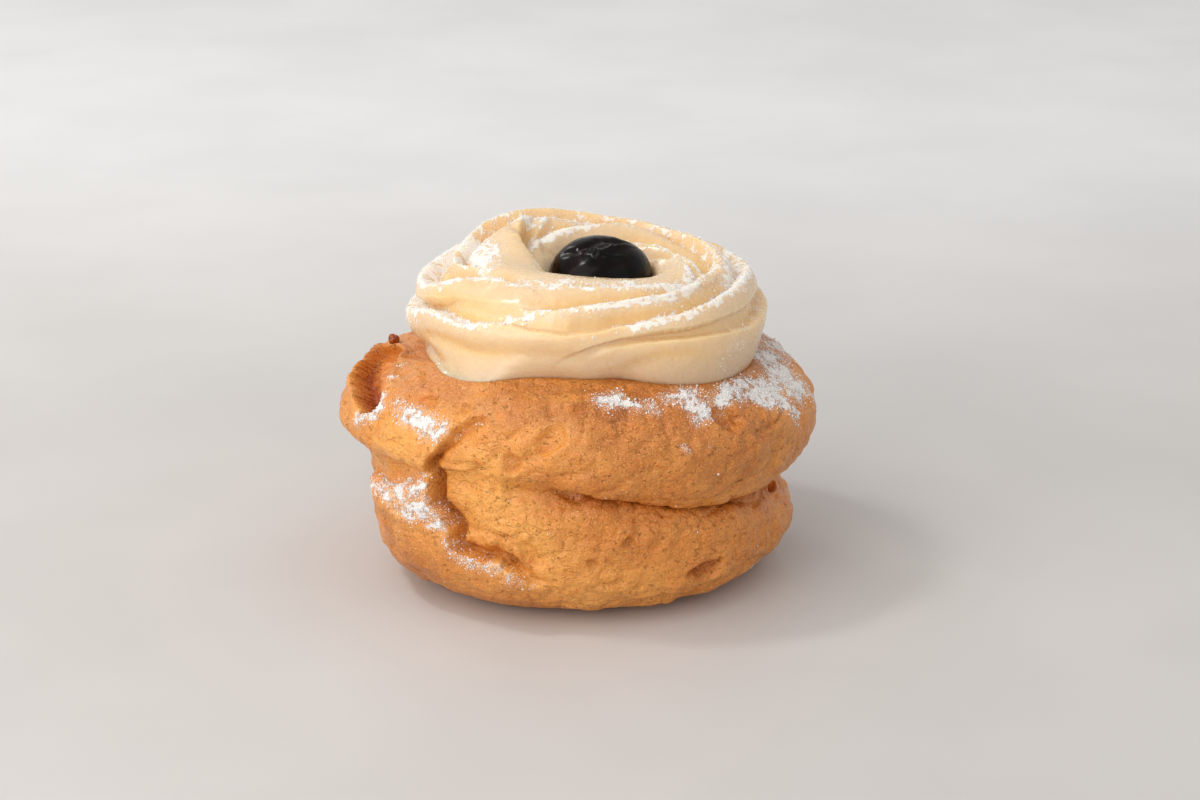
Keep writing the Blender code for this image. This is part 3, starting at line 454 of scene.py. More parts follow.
# %% [markdown]
# ### The burst bubble
# At the far left a large bubble burst while it fried, and left a pocket with a thin proud rim. The pocket
# runs slanting into the dough, so it can't be relief along the normal: every point inside the rim is pushed
# along the bubble's own direction. The rim is a closed path, and the side of it says what is inside.

# %% The bubble's rim and its push
# The rim is (azimuth, height, how proud, how deep behind it), walked with the hole on the left.
BUBBLE_RIM = [
    (193, 31.6, 0.6, 6.5), (198, 30.6, 0.3, 7.0), (201, 30.3, 0.3, 7.0), (206, 31.4, 0.3, 7.0),
    (208, 32.6, 0.3, 6.0), (206, 34.6, 0.3, 4.5), (199.5, 36.2, 0.3, 3.5), (190, 36.7, 0.4, 3.0),
    (183, 36.9, 0.6, 2.8), (177, 36.6, 1.2, 2.6), (173.5, 35.2, 1.6, 2.8), (177, 33.6, 1.3, 3.6),
    (184, 32.4, 1.1, 5.5), (193, 31.6, 0.6, 6.5),
]
BUBBLE_WALL = 0.9  # how far in the hole reaches its depth, in mm
BUBBLE_HALF = 8.0  # nothing further inside its rim than this belongs to the bubble
BUBBLE_RUNS = np.array([0.35, 0.80, -0.50])  # the way the bubble runs into the dough
RIM_OUT, RIM_WIDTH = 0.4, 1.1  # how far outside the hole its proud rim stands, and how wide it is
RIM_FACES_UP = 20.0  # in mm, added to the outward direction there, so that it also holds on the shoulder
RIM_RAGGED_BY, RIM_RAGGED_EVERY, RIM_SEED = 0.35, 1.7, 14


def beside_rim(points):
    """(offset, how proud, how deep) from the rim of the burst bubble, + inside it."""
    stops = np.array([wall_point(azimuth, height) for azimuth, height, _, _ in BUBBLE_RIM])
    ragged = RIM_RAGGED_BY * value_noise(points, RIM_RAGGED_EVERY, RIM_SEED)
    outward = stops * (1, 1, 0) + [0, 0, RIM_FACES_UP]
    offset, found = beside_stops(points, stops, outward, np.array(BUBBLE_RIM)[:, 2:])
    return offset + ragged, found[..., 0], found[..., 1]


def bubble_push(points):
    """How far each point is pushed into the bubble: depth eased in from its rim, the way it runs."""
    offset, _, depth = beside_rim(points)
    push = depth * smooth(offset / BUBBLE_WALL) * (offset < BUBBLE_HALF)
    return push[..., None] * BUBBLE_RUNS / np.linalg.norm(BUBBLE_RUNS)


print("The bubble is up to", max(row[3] for row in BUBBLE_RIM), "mm deep behind its rim")

# %% [markdown]
# ### All the marks together
# The marks are added up into one relief, so each can be changed alone. It fades out under the cream and at
# the floor, where the choux has to keep the plain shape that they are fitted to.

# %% The crust's relief
LUMPS = [(13.0, 0.55), (6.0, 0.3)]  # size and rise, in mm; each size is its own seed
WANDER_BY, WANDER_EVERY, WANDER_SEEDS = 0.9, 2.6, (7, 8, 9)  # how the outlines of the hollows wander
CREAM_CENTRE = (2.6, 0.0)
SKIRT_RADIUS = {
    0: 25.4, 45: 26.5, 90: 27.0, 135: 27.5, 180: 28.0, 205: 29.5, 220: 31.8, 233: 31.0, 245: 27.6,
    255: 26.0, 265: 25.6, 277: 24.6, 288: 26.4, 305: 27.8, 325: 27.0, 345: 25.6,
}
# Where the crust starts to show, and over how much more it shows fully, in mm: beyond the skirt, below the
# height of the cream, and above the floor.
OUT_OF_SKIRT, UNDER_CREAM, OFF_FLOOR = (0.5, 2.5), (35.0, 3.0), (0.3, 3.0)


def crust_shown(points):
    """0 where the choux carries the cream or stands on the floor, and 1 where its crust shows."""
    x, y, z = points[..., 0] - CREAM_CENTRE[0], points[..., 1] - CREAM_CENTRE[1], points[..., 2]
    skirt = round_the_ring(np.degrees(np.arctan2(y, x)), SKIRT_RADIUS)
    clear_of_cream = np.maximum(eased(np.hypot(x, y) - skirt, *OUT_OF_SKIRT), eased_below(z, *UNDER_CREAM))
    return clear_of_cream * eased(z, *OFF_FLOOR)


def crust_relief(azimuth, v):
    """How far the crust stands out of the plain ring, in mm: lumps, torn steps, creases, hollows, bumps."""
    points = choux_ring(azimuth, v)
    wander = [value_noise(points, WANDER_EVERY, seed) for seed in WANDER_SEEDS]
    wandering = points + WANDER_BY * np.stack(wander, axis=-1)
    lumps = sum(rise * value_noise(points, size, int(size)) for size, rise in LUMPS)
    relief = lumps * (1 - in_fold(azimuth, v))
    relief += torn_step(points, CLEFT, CLEFT_RISE, CLEFT_FALLS, moved=CLEFT_MOVED)
    relief += torn_step(points, LEDGE_OF_LOBE, LEDGE_RISE, LEDGE_FALLS)
    relief -= crease_depth(points, UPPER_CREASE) + crease_depth(points, FOLD_START)
    offset, proud, _ = beside_rim(points)
    relief += proud * bell(offset + RIM_OUT, RIM_WIDTH)
    for hollow in HOLLOWS:
        relief -= hollow_depth(wandering, *hollow)
    for bump_azimuth, height, radius, rise in BUMPS:
        distance = np.linalg.norm(points - wall_point(bump_azimuth, height), axis=-1)
        relief += rise * bell(distance, radius)
    return relief * crust_shown(points)


front_relief = crust_relief(np.full(50, 250.0), np.linspace(0.1, 0.8, 50))
print("Up the left front the relief runs from", np.round([front_relief.min(), front_relief.max()], 1), "mm")

# %% [markdown]
# ## The fine skin
# Fried choux has a skin like crumpled tissue: folds a few millimetres apart, a fine grain, and pits where
# small bubbles broke. On a real one these catch the light, so they belong in the mesh and not only in the
# material. Three sizes of the same noise give the crumple, and places where a noise crosses nought give
# thin wrinkles. A few single lines and flakes are listed one by one.

# %% Crumple, wrinkles, pits and fine lines
CRUMPLE, CRUMPLE_SEED = [(3.6, 0.34), (1.7, 0.17), (0.85, 0.11)], 20  # size and rise, in mm
WRINKLES, WRINKLE_SEED = [(5.5, 0.42), (2.8, 0.26)], 60  # how far apart the wrinkles are, and how deep
WRINKLE_SHARPNESS = 7  # the power that makes thin lines of the places where the noise crosses nought
PITS_EVERY, PIT_DEPTH, PIT_SEED = 1.9, 0.35, 31
PITS_BEGIN = (0.62, 0.25)  # the noise at which a pit begins, and over how much more it is deep
# Fine lines are (azimuth, height, depth in mm); a ridge has a negative depth.
CRACK = [
    (331.5, 33.8, 0.3), (330.3, 32.7, 0.7), (326.6, 31.8, 0.7), (323, 31.5, 0.6), (317, 31.5, 0.4),
    (311, 31.6, 0.1),
]
SCRATCH = [(250.4, 33.1, 0.0), (251, 33.5, 0.45), (253.3, 34.7, 0.45), (255.9, 35.8, 0.0)]
LOW_GROOVE = [(285, 19.6, 0.0), (284.9, 18.8, 0.6), (284.8, 16.7, 0.5), (284.6, 15.6, 0.0)]
LOW_LINE = [(314.5, 8.2, 0.0), (316.5, 8.6, 0.5), (319.3, 9.1, 0.5), (322, 9.9, 0.0)]
HOLLOW_RIDGE = [
    (311.4, 35.6, 0.0), (311.1, 34.9, -0.45), (311, 33.3, -0.5), (310.4, 31.7, -0.2), (308.5, 30.8, 0.0),
]
SPLINTER = [(294.3, 31.9, 0.0), (294.9, 31.4, -0.5), (297.7, 29.2, 0.0)]
# Each line with its half width, in mm.
FINE_LINES = [
    (CRACK, 0.35), (SCRATCH, 0.4), (LOW_GROOVE, 0.8), (LOW_LINE, 0.35), (HOLLOW_RIDGE, 0.5),
    (SPLINTER, 0.4),
]
# Under this line the crust turns in to a thin darker skin.
FOOT_RIM = [
    (272, 4.0, 0.0), (278, 4.5, 0.4), (289.5, 5.4, 0.7), (303, 6.0, 0.8), (316, 7.3, 0.8), (326, 7.4, 0.5),
    (336, 8, 0.0),
]
FOOT_STEP, FOOT_REACH = 0.6, 2.5  # how wide that step is and how far under it the skin stays in, in mm
# Flakes are azimuth, height, size and rise, in mm.
FLAKES = [
    (255.2, 16.7, 0.8, 0.5), (258.4, 14.1, 0.7, 0.45), (245.5, 14.9, 0.9, 0.6), (256.5, 11.8, 0.6, 0.35),
]
FLAKE_EDGE = 0.4  # over how much a flake's edge falls away, in mm
FLAKE_RAGGED_BY, FLAKE_RAGGED_EVERY, FLAKE_SEED = 0.5, 0.8, 33  # a share of that edge, and how often


def fine_skin(points):
    """Crumple, wrinkles (1 - |noise|)^n, pits where a noise passes a threshold, and the fine lines."""
    relief = layered_noise(points, CRUMPLE, CRUMPLE_SEED)
    for i, (apart, depth) in enumerate(WRINKLES):
        relief -= depth * (1 - np.abs(value_noise(points, apart, WRINKLE_SEED + i))) ** WRINKLE_SHARPNESS
    relief -= PIT_DEPTH * eased(value_noise(points, PITS_EVERY, PIT_SEED), *PITS_BEGIN)
    for path, wide in FINE_LINES:
        offset, depth = beside_path(points, path)
        relief -= depth * bell(offset, wide)
    offset, depth = beside_path(points, FOOT_RIM)
    relief -= depth * smooth(-offset / FOOT_STEP) * bell(offset, FOOT_REACH)
    ragged = FLAKE_RAGGED_BY * value_noise(points, FLAKE_RAGGED_EVERY, FLAKE_SEED)
    for azimuth, height, size, rise in FLAKES:
        distance = np.linalg.norm(points - wall_point(azimuth, height), axis=-1)
        relief += rise * smooth((size - distance) / FLAKE_EDGE + ragged)
    return relief


print("The fine skin has", len(FINE_LINES), "fine lines and", len(FLAKES), "flakes")

# %% [markdown]
# ### The lip of the cleft
# Beside the cleft the lip is drawn out to a thin ragged edge that leans over the sunk side. Relief along
# the normal can't lean, so the lip is also pushed sideways, across the path's walk. With the bubble's push
# added, the skin of the choux is complete.

# %% The choux's skin as a function of azimuth and v
LIP_AT, LIP_WIDTH = 0.5, 0.7  # where the lip stands beside the cleft's edge, and how wide it is, in mm
LIP_RISE, LIP_LEAN = 0.20, 0.42  # how far it rises and leans over, as shares of the cleft's strength
LIP_TORN_BY, LIP_TORN_EVERY, LIP_TORN_SEED = 0.3, 0.9, 6  # the lip's edge is torn more finely than the step
LIP_VARIES_BY, LIP_VARIES_EVERY, LIP_VARIES_SEED = 0.6, 1.3, 16  # it is drawn out here and thin there
GROOVE_AT, GROOVE_WIDTH = -1.2, 0.8  # the groove under the lip, in mm
GROOVE_DEPTH = 0.6  # as a share of the cleft's strength
NEARNESS_POWER, NEARNESS_SOFTENED = 4, 1.0  # how a path's pieces share in the direction beside it
TOO_FAINT = 1e-6  # a direction shorter than this is left as it is


def sideways_to(points, normals, path):
    """The direction across a path's walk, towards its right, blended between its pieces by nearness."""
    stops = np.array([wall_point(azimuth, height) for azimuth, height, _ in path])
    middles, steps = (stops[1:] + stops[:-1]) / 2, stops[1:] - stops[:-1]
    distance = np.linalg.norm(points[..., None, :] - middles, axis=-1)
    weight = 1 / (distance + NEARNESS_SOFTENED) ** NEARNESS_POWER
    across = np.cross((weight[..., None] * steps).sum(-2), normals)
    return across / np.maximum(np.linalg.norm(across, axis=-1, keepdims=True), TOO_FAINT)


def choux_skin(azimuth, v):
    """Points, in mm, of the crust: ring + relief * normal + the lip's lean sideways + the bubble's push."""
    points = choux_ring(azimuth, v)
    normals = normals_of(choux_ring, azimuth, v)
    shown = crust_shown(points)
    offset, strength = beside_tear(points, CLEFT, CLEFT_MOVED)
    offset = offset + LIP_TORN_BY * value_noise(points, LIP_TORN_EVERY, LIP_TORN_SEED)
    ragged = 1 + LIP_VARIES_BY * value_noise(points, LIP_VARIES_EVERY, LIP_VARIES_SEED)
    lip = strength * ragged * bell(offset - LIP_AT, LIP_WIDTH)
    groove = GROOVE_DEPTH * strength * bell(offset - GROOVE_AT, GROOVE_WIDTH)
    out = crust_relief(azimuth, v) + shown * (fine_skin(points) + LIP_RISE * lip - groove)
    leaned = (shown * LIP_LEAN * lip)[..., None] * sideways_to(points, normals, CLEFT)
    return points + out[..., None] * normals + leaned + shown[..., None] * bubble_push(points)


print("The lip leans by up to", round(LIP_LEAN * max(row[2] for row in CLEFT), 1), "mm")

# %% [markdown]
# ## From a function to a mesh
# A grid of azimuths and places v is put through the skin's function all at once, and the rows of the grid
# are joined by quads. Two fans of triangles close it at the poles. The grid is finer at the front and where
# the fold and the wall show, and coarser at the back and the underside, so that no faces are wasted.

# %% Closed skins, and the crust itself
FRONT = 270  # its azimuth


def closed_skin(name, surface, azimuths, places):
    """A closed mesh of rings, one at each place v, with a fan of triangles to a point at both ends.

    Its points are kept inside the box of the solids."""
    turn, climb = np.meshgrid(azimuths, places)
    ends = surface(np.zeros(2), np.array([0.0, 1.0]))
    points = np.concatenate([surface(turn, climb).reshape(-1, 3), ends])
    points = np.clip(points, np.array(cad_box[0]) / MM, np.array(cad_box[1]) / MM)
    rows, columns = turn.shape
    ring = np.arange(rows * columns).reshape(rows, columns)
    onward = np.roll(ring, -1, axis=1)
    quads = np.stack([ring[:-1], onward[:-1], onward[1:], ring[1:]], axis=-1).reshape(-1, 4)
    south, north = np.full(columns, rows * columns), np.full(columns, rows * columns + 1)
    fans = np.concatenate(
        [np.stack([south, onward[0], ring[0]], -1), np.stack([ring[-1], onward[-1], north], -1)]
    )
    mesh = bpy.data.meshes.new(name)
    mesh.from_pydata((points * MM).tolist(), [], quads.tolist() + fans.tolist())
    mesh.shade_smooth()
    made = bpy.data.objects.new(name, mesh)
    bpy.context.scene.collection.objects.link(made)
    azimuth = np.append(turn.ravel(), [0, 0])
    v = np.append(climb.ravel(), [0, 1])
    return made, azimuth, v


def front_first(count, share):
    """Azimuths all round, with the steps at the front shortened by this share and the back's lengthened."""
    even = np.linspace(0, 360, count, endpoint=False)
    return even - np.degrees(share * np.sin(np.radians(even - FRONT)))


CHOUX_ROUND, CHOUX_RINGS = 460, 210  # how many points round, and how many rings
CHOUX_FRONT = 0.42  # how much shorter the steps are at the front
# What share of the rings has been laid by each place v.
CHOUX_LAID = [0, 0.03, 0.30, 0.53, 0.73, 0.97, 1]
CHOUX_AT = [0.01, 0.06, 0.25, 0.38, 0.55, 0.89, 0.985]
choux_places = np.interp(np.linspace(0, 1, CHOUX_RINGS), CHOUX_LAID, CHOUX_AT)
choux, choux_azimuth, choux_v = closed_skin(
    "choux_crust", choux_skin, front_first(CHOUX_ROUND, CHOUX_FRONT), choux_places
)
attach(choux, "root")
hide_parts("choux")
print("The choux has", len(choux.data.polygons), "faces")

# %% [markdown]
# ### The burnt crumb
# A crumb of crust, fried almost black, clings to the bubble's rim. It is a small ball with noise of its own
# size in its radius, sunk a little into the rim. An icosphere with a Displace modifier would give the same,
# but the helper for closed skins is already at hand.

# %% The burnt crumb on the bubble's rim
CRUMB_CENTRE, CRUMB_RADIUS = (-32.4, 6.3, 36.6), 0.98  # in mm
CRUMB_LUMPS, CRUMB_SEED = [(0.8, 0.32), (0.4, 0.12)], 91  # size in mm, and share of the radius
CRUMB_ROUND, CRUMB_RINGS, CRUMB_POLES = 36, 19, 0.05  # the first and last rings are this near the poles


def crumb_skin(azimuth, v):
    """Points, in mm, of the crumb: a ball whose radius is shaken by noise of its own size."""
    ball = turned(azimuth, np.cos((v - 0.5) * math.pi), np.sin((v - 0.5) * math.pi))
    lumpy = 1 + layered_noise(ball * CRUMB_RADIUS, CRUMB_LUMPS, CRUMB_SEED)
    return ball * (lumpy * CRUMB_RADIUS)[..., None] + CRUMB_CENTRE


crumb_places = np.linspace(CRUMB_POLES, 1 - CRUMB_POLES, CRUMB_RINGS)
crumb, _, _ = closed_skin("burnt_crumb", crumb_skin, front_first(CRUMB_ROUND, 0.0), crumb_places)
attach(crumb, "root")
print("The crumb has", len(crumb.data.polygons), "faces")

# %% [markdown]
# ## The piped cream
# Pastry cream is piped through a star nozzle in a rope that climbs round and round. A star rope shows as a
# few long strands, each with a crisp edge and a groove above it. A wound rope could be swept along a
# spiral, but here the turns have melted into one another, so the rosette is one skin: a plain wall with the
# strands as relief on it. It starts as the plain wall, with a well in the middle that is fitted round the
# cherry.

# %% The plain rosette
SETTLED = -0.15  # the cream lies this far into the choux and round the cherry, in mm
CHERRY_CENTRE = (2.6, 0.0, 49.8)
CHERRY_RADII = (8.5, 8.3, 6.4)
WELL_FLOOR_RADIUS = 7.9  # the well's side ends here, and the cup under the cherry begins
LIP_ROLL = 4.6  # how far the lip runs level into the well
WELL_SIDE = (0.9, 3.2)  # the well's side comes down to its floor from this far out and up
SKIRT_ROLL = (0.8, 0.4)  # the skirt's foot leaves outwards by mm, and meets its side at a share of its rise
BULGE_RADIUS = {
    0: 26.8, 45: 26.5, 90: 27.0, 135: 28.0, 180: 31.2, 205: 30.7, 225: 30.5, 250: 28.0, 277: 26.2,
    300: 28.2, 330: 27.8,
}
BULGE_RISE = {0: 6.5, 90: 5.0, 180: 4.0, 235: 3.6, 255: 4.6, 277: 4.6, 300: 4.0}
WELL_LIP_RADIUS = {0: 17.5, 45: 17.0, 90: 17.0, 135: 18.0, 180: 17.5, 225: 15.5, 270: 14.0, 315: 15.5}
WELL_LIP_HEIGHT = {0: 51.9, 45: 53.0, 90: 54.3, 130: 56.1, 180: 54.0, 225: 53.4, 270: 53.0, 315: 52.3}
CREAM_STRETCHES = {"under": 0.16, "skirt": 0.26, "wall": 0.62, "well": 0.86, "cup": 1.0}


def cream_section(azimuth, v):
    """(radius, height) of the plain rosette round its own axis, and its place p up the wall.

    p is 0 at the skirt's foot, 1 on the lip of the well and 2 where the cup begins."""
    edge = round_the_ring(azimuth, SKIRT_RADIUS)
    bulge, rise = round_the_ring(azimuth, BULGE_RADIUS), round_the_ring(azimuth, BULGE_RISE)
    lip_r, lip_z = round_the_ring(azimuth, WELL_LIP_RADIUS), round_the_ring(azimuth, WELL_LIP_HEIGHT)

    def resting_height(radius):
        points = turned(azimuth, radius, azimuth * 0, CREAM_CENTRE)
        x, y = points[..., 0], points[..., 1]
        return choux_top(np.degrees(np.arctan2(y, x)), np.hypot(x, y)) + SETTLED

    foot_z = resting_height(edge)
    bulge_z = foot_z + rise
    cup_r, cup_z = CHERRY_RADII[0] + SETTLED, CHERRY_RADII[2] + SETTLED
    start_angle = math.acos(WELL_FLOOR_RADIUS / cup_r)
    floor_r, floor_z = WELL_FLOOR_RADIUS, CHERRY_CENTRE[2] - cup_z * math.sin(start_angle)
    roll_r, roll_z = SKIRT_ROLL
    side_r, side_z = WELL_SIDE

    def cup(t):
        angle = start_angle + t * (math.pi / 2 - start_angle)
        return cup_r * np.cos(angle), CHERRY_CENTRE[2] - cup_z * np.sin(angle)

    # Each bezier's four points: where it starts, its two handles, and where it ends.
    skirt = (edge, foot_z), (edge + roll_r, foot_z), (bulge, foot_z + rise * roll_z), (bulge, bulge_z)
    steep, level = (bulge, bulge_z + ARC * (lip_z - bulge_z)), (lip_r + ARC * (bulge - lip_r), lip_z)
    wall = (bulge, bulge_z), steep, level, (lip_r, lip_z)
    above_floor = (floor_r + side_r, floor_z + side_z)
    well = (lip_r, lip_z), (lip_r - LIP_ROLL, lip_z), above_floor, (floor_r, floor_z)
    curves = {
        "under": lambda t: (edge * t, resting_height(edge * t)),
        "skirt": lambda t: bezier(t, *skirt),
        "wall": lambda t: bezier(t, *wall),
        "well": lambda t: bezier(t, *well),
        "cup": cup,
    }
    radius, height = along_section(v, CREAM_STRETCHES, curves)
    foot, lip, floor = CREAM_STRETCHES["under"], CREAM_STRETCHES["wall"], CREAM_STRETCHES["well"]
    place = np.where(v < lip, (v - foot) / (lip - foot), 1 + (v - lip) / (floor - lip))
    return radius, height, place


def cream_ring(azimuth, v):
    """Points, in mm, of the plain rosette."""
    radius, height, _ = cream_section(azimuth, v)
    return turned(azimuth, radius, height, CREAM_CENTRE)


def at_place(place):
    """The section's parameter v at a place p on the wall (up to 1) or down the well (up to 2)."""
    foot, lip, floor = CREAM_STRETCHES["under"], CREAM_STRETCHES["wall"], CREAM_STRETCHES["well"]
    return np.where(place < 1, foot + place * (lip - foot), lip + (place - 1) * (floor - lip))


lip_front = cream_ring(np.array(270.0), at_place(np.array(1.0)))
print("The lip of the well is, at the front, at", np.round(lip_front, 1).tolist(), "mm")

# %% [markdown]
# ### The strands of the rope
# Each crisp edge of the rope is a path over the wall, and the distance from it says how far the cream
# stands out: a soft swell up to the edge, then a drop to the ledge behind it. Past 360 the azimuth counts
# on, so one path can climb round and round, as the rope did when it was piped.

# %% The edges
# Paths on the cream are (azimuth, place p, how proud, how sugared), walked with the ledge on their left.
ROPE = [
    (264, 0.16, 0.0, 0.0), (268, 0.20, 0.1, 0.0), (272, 0.24, 0.2, 0.0), (284, 0.32, 0.4, 0.0),
    (295, 0.38, 0.6, 0.0), (305, 0.39, 0.6, 0.0), (315, 0.38, 0.5, 0.1), (329, 0.33, 0.6, 0.3),
    (345, 0.31, 0.8, 0.2), (360, 0.30, 0.9, 0.2), (405, 0.31, 1.0, 0.4), (450, 0.33, 1.0, 0.5),
    (495, 0.34, 1.1, 0.6), (540, 0.33, 1.3, 0.9), (549, 0.35, 1.5, 1.0), (559, 0.42, 1.5, 1.2),
    (568, 0.44, 1.3, 1.1), (576, 0.43, 1.2, 1.0), (583, 0.43, 1.1, 1.0), (590, 0.45, 0.9, 0.9),
    (594, 0.46, 0.7, 0.5), (599, 0.45, 0.5, 0.1), (609, 0.39, 0.5, 0.0), (619, 0.35, 0.5, 0.1),
    (630, 0.39, 0.6, 0.1), (637, 0.44, 0.8, 0.4), (642, 0.46, 1.0, 1.0), (650, 0.52, 1.0, 1.3),
    (659, 0.56, 1.0, 1.0), (668, 0.60, 1.0, 0.8), (684, 0.65, 1.0, 0.9), (706, 0.67, 1.0, 0.9),
    (722, 0.62, 1.0, 0.6), (765, 0.60, 1.0, 0.4), (855, 0.57, 1.0, 0.8), (900, 0.52, 1.4, 0.9),
    (911, 0.54, 1.5, 1.0), (918, 0.60, 1.5, 1.1), (923, 0.70, 1.4, 1.1), (929, 0.77, 1.2, 1.0),
    (938, 0.82, 0.9, 0.8), (950, 0.80, 0.6, 0.7), (960, 0.80, 0.6, 0.6), (971, 0.81, 0.7, 0.6),
    (990, 0.82, 0.8, 0.7), (1010, 0.86, 0.8, 0.7), (1020, 0.89, 0.7, 0.8), (1035, 0.92, 0.3, 0.5),
    (1050, 0.94, 0.0, 0.2),
]
SECOND_EDGE = [
    (238, 0.60, 0.0, 0.0), (243, 0.58, 0.3, 0.5), (248, 0.58, 0.6, 0.7), (253, 0.57, 0.8, 0.6),
    (263, 0.60, 1.0, 0.9), (277, 0.65, 1.0, 1.0), (291, 0.72, 1.0, 1.2), (302, 0.76, 1.0, 1.4),
    (314, 0.81, 1.0, 1.2), (327, 0.86, 1.0, 0.7), (340, 0.90, 1.0, 0.6), (352, 0.92, 1.0, 0.6),
    (380, 0.90, 0.9, 0.5), (420, 0.90, 0.8, 0.4), (450, 0.90, 0.8, 0.4), (480, 0.87, 0.9, 0.4),
    (500, 0.84, 1.0, 0.5), (520, 0.78, 1.2, 0.5), (533, 0.75, 1.3, 0.6), (541, 0.75, 1.3, 0.6),
    (550, 0.78, 0.9, 0.5), (558, 0.84, 0.4, 0.4), (566, 0.88, 0.0, 0.3),
]
DIVE = [
    (224, 0.83, 0.0, 0.2), (230, 0.80, 0.05, 0.3), (240, 0.74, 0.10, 0.3), (245, 0.69, 0.10, 0.2),
    (249, 0.63, 0.05, 0.2), (252, 0.57, 0.0, 0.2),
]
# In the well the ledges are above the edges, so these are walked clockwise.
WELL_BACK = [
    (154, 1.48, 0.0, 0.4), (148, 1.43, 0.7, 1.2), (137, 1.43, 1.0, 1.5), (122, 1.40, 1.0, 1.3),
    (105, 1.33, 1.0, 1.0), (91, 1.25, 1.0, 0.8), (76, 1.12, 0.8, 0.6), (58, 1.04, 0.5, 0.4),
    (35, 0.99, 0.0, 0.3),
]
WELL_RIGHT = [
    (78, 1.55, 0.0, 0.0), (60, 1.47, 0.7, 0.6), (39, 1.39, 1.0, 0.7), (18, 1.33, 1.0, 0.6),
    (-3, 1.15, 1.0, 0.8), (-17, 0.97, 0.7, 0.7), (-25, 0.92, 0.0, 0.5),
]
WELL_INNER = [
    (50, 1.80, 0.0, 0.0), (30, 1.71, 0.7, 0.2), (10, 1.55, 0.9, 0.4), (-16, 1.20, 0.8, 0.6),
    (-27, 1.00, 0.4, 0.6), (-35, 0.95, 0.0, 0.5),
]
TAIL_CURL = [
    (121, 1.08, 0.0, 0.3), (124, 1.13, 0.3, 0.5), (132, 1.22, 0.5, 0.6), (139, 1.29, 0.5, 0.5),
    (147, 1.37, 0.4, 0.3), (153, 1.50, 0.2, 0.2), (157, 1.60, 0.0, 0.0),
]
# The tail's end lies in the well, on the left of the cherry, and drops to it.
TAIL_END = [
    (128, 0.95, 0.0, 0.3), (140, 1.08, 0.8, 0.4), (150, 1.16, 1.3, 0.3), (163, 1.25, 1.6, 0.2),
    (178, 1.34, 1.6, 0.2), (190, 1.42, 1.3, 0.2), (203, 1.48, 0.7, 0.3), (215, 1.50, 0.0, 0.2),
]
EDGES = [ROPE, SECOND_EDGE, DIVE, WELL_BACK, WELL_RIGHT, WELL_INNER, TAIL_CURL, TAIL_END]
# Soft grooves are (azimuth, place p, depth in mm), each with its half width.
SOFT_GROOVES = [
    ([(188, 0.50, 0.0), (205, 0.56, 0.5), (219, 0.60, 0.6), (236, 0.58, 0.5), (248, 0.54, 0.3),
      (260, 0.52, 0.0)], 1.3),
    ([(192, 0.20, 0.0), (204, 0.27, 0.5), (217, 0.29, 0.7), (225, 0.28, 0.7), (235, 0.26, 0.6),
      (244, 0.24, 0.4), (258, 0.21, 0.3), (270, 0.19, 0.0)], 1.5),
    ([(150, 0.14, 0.0), (180, 0.14, 1.6), (198, 0.15, 1.9), (208, 0.13, 1.2), (218, 0.12, 0.4),
      (226, 0.12, 0.0)], 1.7),
    ([(276, 0.12, 0.0), (283, 0.18, 0.4), (291, 0.26, 0.5), (300, 0.29, 0.4), (312, 0.24, 0.0)], 1.4),
    ([(148, 0.72, 0.0), (163, 0.71, 1.2), (177, 0.69, 2.3), (190, 0.70, 2.3), (203, 0.76, 1.2),
      (220, 0.82, 0.0)], 2.0),
    ([(141, 0.90, 0.0), (144, 0.97, 0.4), (153, 1.10, 0.5), (160, 1.26, 0.5), (161, 1.38, 0.4),
      (160, 1.5, 0.2), (162, 1.6, 0.0)], 0.9),
]
print("The cream has", len(EDGES), "edges and", len(SOFT_GROOVES), "soft grooves")

# %% [markdown]
# ### How an edge stands out
# A point beside an edge stands out by the edge's section, which is a soft face on one side and a short
# ledge on the other. The same distance says where sugar caught on the edge, and where the groove behind it
# gets painted shade and glow. Read once for the shape and once for the finish, the two can't drift apart.

# %% Reading the edges
DEGREES_PER_STOP, STOPS_APART = 6, 0.01  # stops nearer than this share of a step are one stop
EDGE_RISE, EDGE_SINK = 1.10, 1.35  # in mm: proud at the edge, and sunk at the back of its ledge
FACE_REACH, LEDGE_WIDTH, LEDGE_REACH = 3.0, 1.05, 2.1  # in mm
WAVER, WAVER_SEED = [(2.6, 0.16), (0.8, 0.048)], 71  # how often and how far an edge wavers, in mm
SUGAR_AT, SUGAR_REACH = 0.35, 1.45  # where the sugar lies beside an edge, in mm
# The glow behind an edge is painted: a deeper golden colour in place of shade and sunk light.
GLOW_AT, GLOW_REACH = LEDGE_WIDTH + 0.3, 1.5  # where the cream glows behind an edge, in mm
GLOW_MOST = 0.6  # a soft groove glows no more than this


def beside_edge(points, path):
    """(offset, the path's further columns) from a path on the cream, read every few degrees of its walk."""
    table = np.array(path, float)
    steps = np.maximum(np.abs(np.diff(table[:, 0])) / DEGREES_PER_STOP, 1)
    length = np.concatenate([[0], np.cumsum(steps)])
    dense = np.union1d(length, np.arange(length[-1]))
    dense = dense[np.diff(dense, prepend=-1) > STOPS_APART]
    azimuth, place, *columns = (np.interp(dense, length, column) for column in table.T)
    stops = cream_ring(azimuth, at_place(place))
    outward = normals_of(cream_ring, azimuth, at_place(place))
    return beside_stops(points, stops, outward, np.stack(columns, -1))


def edge_profile(offset):
    """A rope's edge in section: the face swells as a bell up to it, and the ledge drops behind it."""
    face = EDGE_RISE * bell(offset, FACE_REACH)
    ledge = EDGE_RISE - (EDGE_RISE + EDGE_SINK) * smooth(offset / LEDGE_WIDTH)
    behind = bell(np.maximum(offset - LEDGE_WIDTH, 0), LEDGE_REACH)
    return np.where(offset < 0, face, ledge * behind)


